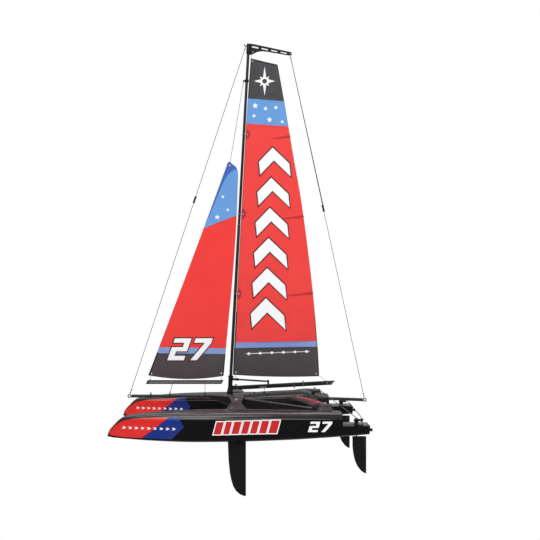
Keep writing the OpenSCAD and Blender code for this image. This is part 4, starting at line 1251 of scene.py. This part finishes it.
def jib_luff(z):
    t = (z - 89.6) / 350.4
    return lerp(134.2, 3.2, t) - 3.2 * clamp(t, 0, 1) * (1 - clamp(t, 0, 1))


def jib_foot(x):
    t = clamp((x - 10.3) / 123.9, 0, 1)
    return lerp(88.7, 89.6, t) - 5.9 * 4 * t*(1 - t)


def jib_y(x, z):
    level = clamp(z, 90.5, 440)
    luff = jib_luff(level)
    chord = max(luff - curve_at(level, JIB_LEECH), 1)
    run = clamp((luff - x) / chord, 0, 1)
    rise = clamp((z - 90.5) / 349.5, 0, 1)
    y = -0.03 * chord * 4*run*(1 - run) * (0.5 + 0.5*math.sin(math.pi*rise))
    for corner in JIB_CREASES:
        y += crease(x, z, *corner)
    y += 0.15 * math.sin(z * 0.05 + 2*run) * math.sin(math.pi * run)
    return y


def jib_surface(p):
    x, z = p
    return (x, jib_y(x, z), z), cloth_normal(jib_y, x, z)


def jib_outline():
    """Foot, leech, head and luff in turn."""
    levels = [88.7 + (424.2 - 88.7) * i / 60 for i in range(60)]
    levels += [424.2, 427, 430, 433, 436, 438.4]
    return ([(x, jib_foot(x)) for x in spread(134.2, 10.3, 30)[:-1]]
            + [(curve_at(z, JIB_LEECH), z) for z in levels] + [(-0.4, 440.0), (3.2, 440.0)]
            + [(jib_luff(z), z) for z in spread(440, 89.6, 60)[1:-1]])


def jib_art():
    """Regions of the port face and of the starboard face, each with a readable number."""
    below = [
        ([(80, 316.5), (-40, 364.0), (-40, 500), (80, 500)], FILM_BLUE),
        ([(jib_luff(z) + 1.5, z) for z in (446, 400, 360, 340)]
         + [(jib_luff(z) - width, z) for z, width in JIB_HEAD], FILM_MID_BLUE),
        ([(170, 136.6), (-20, 133.4), (-20, 124.2), (170, 126.6)], FILM_LINE),
        ([(170, 126.6), (-20, 124.2), (-20, 60), (170, 60)], FILM_FOOT)]
    below += [(star(x, z, radius, 5, 0.44, 96), FILM_WHITE) for x, z, radius in JIB_STARS]
    digits = race_number(start_x=103.0, start_z=114.2, height=36.0, lean=0.35, widen=1.22,
                         along=-1)
    numerals = [(offset_polygon(digit, 1.9), FILM_INK) for digit in digits]
    numerals += [(digit, FILM_WHITE) for digit in digits]
    xs = [x for digit in digits for x, _ in digit]
    ends = min(xs) + max(xs)
    port = [(subdivide(polygon, 5), film) for polygon, film in numerals]
    starboard = [(subdivide([(ends - x, z) for x, z in reversed(polygon)], 5), film)
                 for polygon, film in numerals]
    above = [([(jib_luff(z) + 1, z) for z in (127, 110, 88)]
              + [(jib_luff(z) - 2.6, z) for z in (88, 110, 127)], FILM_HEM),
             ([(curve_at(z, JIB_LEECH) - 1, z) for z in (88, 100, 125)]
              + [(curve_at(z, JIB_LEECH) + 1.6, z) for z in (125, 100, 88)], FILM_HEM)]
    return below + port + above, below + starboard + above


def build_jib():
    films = [FILM_BRIGHT_RED, FILM_BLUE, FILM_MID_BLUE, FILM_LINE, FILM_FOOT, FILM_WHITE,
             FILM_INK, FILM_HEM]
    front, back = jib_art()
    sail = sheet("jib_film", jib_outline(), films, jib_surface, SAIL_LAYERS, SAIL_STEP,
                 "jib_rig", regions=front, back=back, sharp=50,
                 holes=[circle(*eye, 0.8, 12) for eye in JIB_EYES])
    label(sail, "jib_sail")
    add_eyelets("jib_eyelets", JIB_EYES, jib_surface, STEEL, "jib_rig")


build_jib()

# ---------------------------------------------------------------------- cords
FORESTAY = ((164.2, 0, 59.1), (-26.0, 0, 629.4))  # foot, head
BACKSTAY = ((-220.4, 0, 53.1), (-99.0, 0, 614.8))


def line(start, end, count):
    return [tuple(lerp(start[k], end[k], i / count) for k in range(3)) for i in range(count + 1)]


def add_cord(name, points, radius, body, node=None, knots=(), axis=(0, 0, 1)):
    solids = [sweep(points, radius)] + [knot(place, radius, axis) for place in knots]
    return add_piece(name, solids, CORD_DARK, body, node, sharp=60)


def add_stay(node, ends, radius, axis):
    knots = [tuple(Vector(ends[0]).lerp(Vector(ends[1]), t)) for t in (0.004, 0.012, 0.992)]
    add_cord(node + "_cord", line(*ends, 60), radius, "boat", node, knots, axis)


def add_backstay_return():
    """Second part of the backstay, just aft of it from the bowsie up."""
    foot, head = BACKSTAY
    bowsie = Vector(foot).lerp(Vector(head), (370.6 - 53.1) / 561.7)
    points = line(tuple(bowsie), (head[0] + 0.5, 0, head[2] - 1.0), 40)
    ob = add_cord("backstay_return", [(x - 0.88, y, z) for x, y, z in points], 0.46, None,
                  None, [(bowsie.x - 0.5, 0, bowsie.z + 1.2)], (0.21, 0, 0.97))
    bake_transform(ob)


def add_sheet_cord(node, x, low, high, radius):
    """Upright cord from the hull up to a boom."""
    ob = add_cord(node + "_cord", line((x, 0, low), (x, 0, high), 16), radius, None,
                  node)
    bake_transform(ob)


def add_ties(name, material, body, runs, knots=(), knot_radius=0.0, node=None, place=tuple):
    """Short cords: runs are (start, end, pieces, radius)."""
    solids = [sweep([place(p) for p in line(start, end, count)], radius)
              for start, end, count, radius in runs]
    solids += [knot(place(centre), knot_radius) for centre in knots]
    add_piece(name, solids, material, body, node, sharp=60)


add_stay("forestay", FORESTAY, 0.46, (-0.31, 0, 0.95))
add_stay("backstay", BACKSTAY, 0.42, (0.21, 0, 0.97))
add_backstay_return()
add_sheet_cord("main_sheet", x=-56.5, low=60.0, high=68.6, radius=0.36)
add_sheet_cord("jib_sheet", x=40.9, low=61.0, high=76.0, radius=0.40)
add_ties("jib_ties", CORD_DARK, "jib_rig",
         runs=[((98.3, 0, 61.2), (94.4, 0, 76.2), 8, 0.40),
               ((0.3, 0, 435.2), (-22.4, 0, 572.2), 40, 0.36),
               ((131.6, 0, 79.6), (128.8, 0, 91.6), 8, 0.30),
               ((14.6, 0, 79.6), (14.1, 0, 92.0), 8, 0.30)],
         knots=[(98.0, 0, 62.6), (94.5, 0, 75.4), (130.9, 0, 82.6), (14.5, 0, 82.6),
                (0.0, 0, 437.2), (-22.1, 0, 570.4)],
         knot_radius=0.34, node="jib_rigging")
add_ties("main_ties", CORD_WHITE, "main_rig",
         runs=[((-159, 0, 24.6), (-140.2, 0, 37.8), 10, 0.30),
               ((-7.2, 0, 24.2), (-9.0, 0, 33.4), 6, 0.30),
               ((-6.9, 0, 545.0), (-5.0, 0, 555.6), 6, 0.28)],
         knots=[(-156.4, 0, 26.8), (-141.4, 0, 37.0), (-7.4, 0, 25.6), (-6.4, 0, 547.6)],
         knot_radius=0.32, node="sail_ties", place=mast)
add_ties("head_line", CORD_WHITE, "main_rig",
         runs=[((-5.4, 0, 556.4), (-6.0, 0, 560.5), 4, 0.28)], place=mast)

# ------------------------------------------------- CAD pieces: soft edges and finishes
# (material, bevel width, nodes)
FINISHES = [
    (FOIL_BLACK, 0.15, "port_daggerboard starboard_daggerboard port_rudder_blade"
                       " starboard_rudder_blade"),
    (STRUT_GREY, 0.1, "diagonal_struts"),
    (RUBBER, 0.05, "hatch_gasket"),
    (RUBBER, 0.25, "drain_plugs"),
    (EYE_ALLOY, 0.08, "hatch_screws"),
    (EYE_ALLOY, 0.15, "bowsprit_eye stern_eye"),
    (BOLT, 0.12, "beam_screws"),
    (TUBE, 0.1, "bowsprit_tube stern_tube"),
    (NYLON, 0.15, "mast_step masthead_crane switch_body port_tiller starboard_tiller"
                  " gooseneck"),
    (NYLON, 0.12, "jib_hoist_ring forestay_bowsie backstay_bowsie sail_servo_arm"
                  " rudder_servo_horn sheet_fairleads"),
    (NYLON, 0.2, "battery_tray"),
    (NYLON, 0.1, "vang_strut"),
    (CARBON, 0.1, "lower_mast upper_mast"),
    (STEEL, 0.08, "mast_ferrule"),
    (STEEL, 0.1, "port_rudder_stock starboard_rudder_stock"),
    (BRONZE, 0.1, "rudder_tubes"),
    (CELL_WRAP, 0.3, "battery_cells"),
    (RECEIVER_CASE, 0.2, "receiver"),
    (SERVO_CASE, 0.3, "sail_servo rudder_servo"),
    (WIRE, 0.05, "rudder_pushrod tie_rod"),
    (SLIDER_RED, 0.1, "switch_slider"),
    (STRIP, 0.15, "main_boom"),
    (ALLOY, 0.0, "luff_rings"),
    (JIB_STRIP, 0.12, "jib_boom"),
]


def dress(ob, finish, bevel_width):
    ob.data.materials.clear()
    ob.data.materials.append(finish)
    for polygon in ob.data.polygons:
        polygon.material_index = 0
        polygon.use_smooth = True
    modify(ob, "WELD", "weld", merge_threshold=2e-6)
    if bevel_width:
        add_bevel(ob, bevel_width, 2, 38)


for finish, bevel_width, nodes in FINISHES:
    for node in nodes.split():
        if node in frame["nodes"]:
            dress(frame["nodes"][node], finish, bevel_width)

# ------------------------------------------------------------- boom and deck fittings
BOOM_ANGLE = math.radians(3.05)
BOOM_AXIS = Vector((-math.cos(BOOM_ANGLE), 0, math.sin(BOOM_ANGLE)))
BOOM_UP = SIDEWAYS.cross(BOOM_AXIS).normalized()
BOOM_START = Vector(mast((0, 0, 6.3)))
BOOM_HALF_HEIGHT, BOOM_HALF_WIDTH = 3.3, 1.2
JIB_BOOM_Z = 78.6
BAND_WIDTH = 1.9


def boom_at(distance):
    return BOOM_START + BOOM_AXIS * distance


def strip_band(centre, axis, half_height, half_width, grow):
    """Square band round a flat strip that runs along axis."""
    along = Vector(axis).normalized()
    up = along.cross(SIDEWAYS).normalized()
    half = BAND_WIDTH / 2
    rings = []
    for shift, gap in ((-half, 0.1), (-half, grow), (half, grow), (half, 0.1)):
        rings.append([tuple(Vector(centre) + along*shift + SIDEWAYS*(half_width + gap)*i
                            + up*(half_height + gap)*j)
                      for i, j in ((1, 1), (-1, 1), (-1, -1), (1, -1))])
    return loft(rings)


def build_boom_bands():
    # (distance along the boom, height of the ring above its axis)
    places = ((105.4, -4.6), (120.0, 4.6))
    solids = [strip_band(boom_at(distance), BOOM_AXIS, BOOM_HALF_HEIGHT, BOOM_HALF_WIDTH, 0.5)
              for distance, _ in places]
    solids += [hoop(boom_at(distance) + BOOM_UP * lift, 1.2, (0, 1, 0), 18, 0.4)
               for distance, lift in places]
    add_piece("boom_bands", solids, EYE_ALLOY, "main_rig", sharp=30)


def build_vang_sleeve():
    """Sleeve and grooved nut on the vang strut."""
    start, end = Vector(mast((-8.2, 0, 21.18))), Vector(mast((-58.4, 0, 20.65)))
    length = (end - start).length
    direction = (end - start).normalized()
    # (distance along the strut, radius)
    sleeve = [(6.8, 1.2), (7.0, 1.42), (18.0, 1.42), (30.0, 1.42), (42.0, 1.42), (length, 1.42)]
    nut = [(0.0, 1.95), (0.35, 2.25), (1.4, 2.3), (1.6, 2.12), (2.8, 2.12), (3.0, 2.3),
           (4.2, 2.3), (4.4, 2.12), (5.4, 2.2), (5.8, 1.95)]
    solids = [sweep([start + direction * t for t, _ in profile], [r for _, r in profile], count)
              for profile, count in ((sleeve, 20), (nut, 28))]
    add_piece("vang_sleeve", solids, NYLON, "main_rig", sharp=40)


def build_jib_boom_trim():
    bands = [strip_band((x, 0, JIB_BOOM_Z), (1, 0, 0), 3.2, 0.8, 0.35) for x in (95.5, 73.5)]
    add_piece("jib_boom_bands", bands, ALLOY, "jib_rig", sharp=30)
    # thin slanted inlay on each face
    corners = [(132.6, -1.25), (15.6, -1.25), (14.0, 1.0), (130.6, 1.0)]
    inlays = [loft([[(x, sign * y, JIB_BOOM_Z + rise) for x, rise in corners]
                    for y in (0.78, 0.86)]) for sign in (1, -1)]
    add_piece("jib_boom_inlay", inlays, STRIP_CORE, "jib_rig", sharp=30)


def build_boom_cap():
    """Moulded end of the main boom, cut to the same slant."""
    # (distance past the boom's end, height and width as parts of the strip's)
    stations = [(-1.3, 1.0, 0.9), (-1.3, 1.05, 1.14), (0.6, 1.05, 1.14), (1.9, 0.9, 0.95),
                (2.6, 0.66, 0.62), (2.9, 0.4, 0.3)]
    corners = [(1, 1), (0.7, 1.04), (-0.7, 1.04), (-1, 1), (-1, -1), (-0.7, -1.04),
               (0.7, -1.04), (1, -1)]
    rings = []
    for past, tall, wide in stations:
        top, bottom = 169.9 + past - 2.6 * (1 - tall), 164.9 + past
        rings.append([tuple(boom_at(top if j > 0 else bottom)
                            + SIDEWAYS * BOOM_HALF_WIDTH * wide * i
                            + BOOM_UP * BOOM_HALF_HEIGHT * tall * j) for i, j in corners])
    add_piece("boom_end_cap", [loft(rings)], STRUT_GREY, "main_rig", sharp=30)


def build_boom_eyelets():
    rings = []
    for distance in (50.0, 54.0, 58.0, 159.0, 152.0):
        centre = boom_at(distance) - Vector((0, 0, 1.2 if distance < 60 else 0))
        rings += [hoop(centre, 0.85, (0, 1, 0), 18, 0.22, (0, sign * 1.22, 0))
                  for sign in (1, -1)]
    add_piece("boom_eyelets", rings, EYE_ALLOY, "main_rig", sharp=60)


def build_aft_screws():
    """Domed screw head on each low aft deck."""
    dome = [(0, 1.9), (0.7, 1.9), (1.15, 1.5), (1.3, 0.7), (1.3, 0.01)]
    heads = [lathe((-206.6, centre_y + 5.0, 26.3), (0, 0, 1), dome, 24)
             for centre_y in (HULL_Y, -HULL_Y)]
    add_piece("aft_deck_screws", heads, STEEL, "boat", sharp=40)


build_boom_bands()
build_vang_sleeve()
build_jib_boom_trim()
build_boom_cap()
build_boom_eyelets()
build_aft_screws()


# -------------------------------------------- stage, light and camera, in world metres
def make_stage():
    """Floor that curves up into a wall behind the boat, plain white to the camera."""
    bend_y, radius, count = -1.4, 1.2, 24
    path = [(3.2, 0.0), (bend_y, 0.0)]
    for i in range(1, count + 1):
        angle = math.pi/2 * i / count
        path.append((bend_y - radius*math.sin(angle), radius - radius*math.cos(angle)))
    path.append((bend_y - radius, 4.0))
    vertices = [(x, y, z) for y, z in path for x in (-5, 5)]
    faces = [(2*i, 2*i + 1, 2*i + 3, 2*i + 2) for i in range(len(path) - 1)]
    white = material("stage_white", (0.90, 0.90, 0.90), rough=0.9, spec=0.1, var=0.01, scale=2)
    ob = mesh_object("stage_sweep", (vertices, faces), white, place=tuple)
    ob.visible_glossy = False
    tree = white.node_tree
    surface = tree.nodes["Principled BSDF"]
    surface.inputs["Emission Color"].default_value = (1, 1, 1, 1)
    surface.inputs["Emission Strength"].default_value = 0.45
    glow = add_node(tree, "Emission", {"Color": (1, 1, 1, 1)})[0]
    seen = add_node(tree, "LightPath")["Is Camera Ray"]
    mixed = add_node(tree, "MixShader", {0: seen, 1: surface.outputs[0], 2: glow})[0]
    tree.links.new(mixed, tree.nodes["Material Output"].inputs["Surface"])


def make_world():
    """White to the camera; reflections see a bright ceiling and back and a dark camera side."""
    world = bpy.data.worlds.new("studio")
    world.use_nodes = True
    tree = world.node_tree
    inputs = tree.nodes["Background"].inputs
    coords = add_node(tree, "TexCoord")["Generated"]
    direction = add_node(tree, "SeparateXYZ", {"Vector": coords})
    ceiling = remap(tree, direction["Z"], (0.30, 0.85), (0.0, 0.50),
                    interpolation_type="SMOOTHSTEP")
    back = remap(tree, direction["Y"], (0.15, -0.95), (0.0, 0.30),
                 interpolation_type="SMOOTHSTEP")
    both = add_node(tree, "Math", {0: ceiling, 1: back}, operation="ADD")[0]
    reflected = add_node(tree, "Math", {0: both, 1: 0.02}, operation="ADD")[0]
    ray = add_node(tree, "LightPath")
    unseen = add_node(tree, "Mix", {"Factor": ray["Is Glossy Ray"], "A": 0.42, "B": reflected},
                      data_type="FLOAT")["Result"]
    strength = add_node(tree, "Mix", {"Factor": ray["Is Camera Ray"], "A": unseen, "B": 1.0},
                        data_type="FLOAT")["Result"]
    tree.links.new(strength, inputs["Strength"])
    inputs["Color"].default_value = (1, 1, 1, 1)
    scene.world = world


def area_light(name, location, target, size, power, color=(1, 1, 1)):
    light = bpy.data.lights.new(name, "AREA")
    light.shape = "RECTANGLE"
    light.size, light.size_y = size
    light.energy = power
    light.color = color
    ob = bpy.data.objects.new(name, light)
    ob.location = location
    aim = Vector(target) - Vector(location)
    ob.rotation_euler = aim.to_track_quat("-Z", "Y").to_euler()
    scene.collection.objects.link(ob)


def make_camera():
    """Level view from the port side."""
    camera = bpy.data.cameras.new("camera")
    camera.sensor_width = 36
    camera.lens = 59.666667
    camera.shift_x = 0.066666667
    camera.clip_start = 0.05
    ob = bpy.data.objects.new("camera", camera)
    ob.location = to_world((-6.7, 1470, 262.6))
    ob.rotation_euler = (math.radians(90), 0, math.radians(180))
    scene.collection.objects.link(ob)
    scene.camera = ob


make_stage()
make_world()
MIDDLE = (0.0, 0.0, 0.33)
# name, location, target, (width, height), power in watts, and a colour if not white
LIGHTS = [
    ("key", (0.60, 1.45, 1.55), MIDDLE, (1.1, 0.8), 6.4),
    ("top", (-0.1, 0.0, 1.9), (0, 0, 0.1), (1.6, 0.5), 7),
    ("fill", (-1.4, 1.3, 0.9), MIDDLE, (1.0, 1.0), 4),
    ("strip", (0.40, 1.00, 1.72), (0.10, 0.10, 0.13), (1.1, 0.3), 4),
    ("low_strip", (0.25, 1.60, 1.05), (0.10, 0.10, 0.12), (1.4, 0.12), 2.2, (1.0, 0.96, 0.93)),
    ("backdrop", (0.0, -1.0, 2.2), (0, -2.4, 0.6), (2.6, 1.0), 24),
]
for light in LIGHTS:
    area_light(*light)
make_camera()
scene.view_settings.view_transform = "Standard"
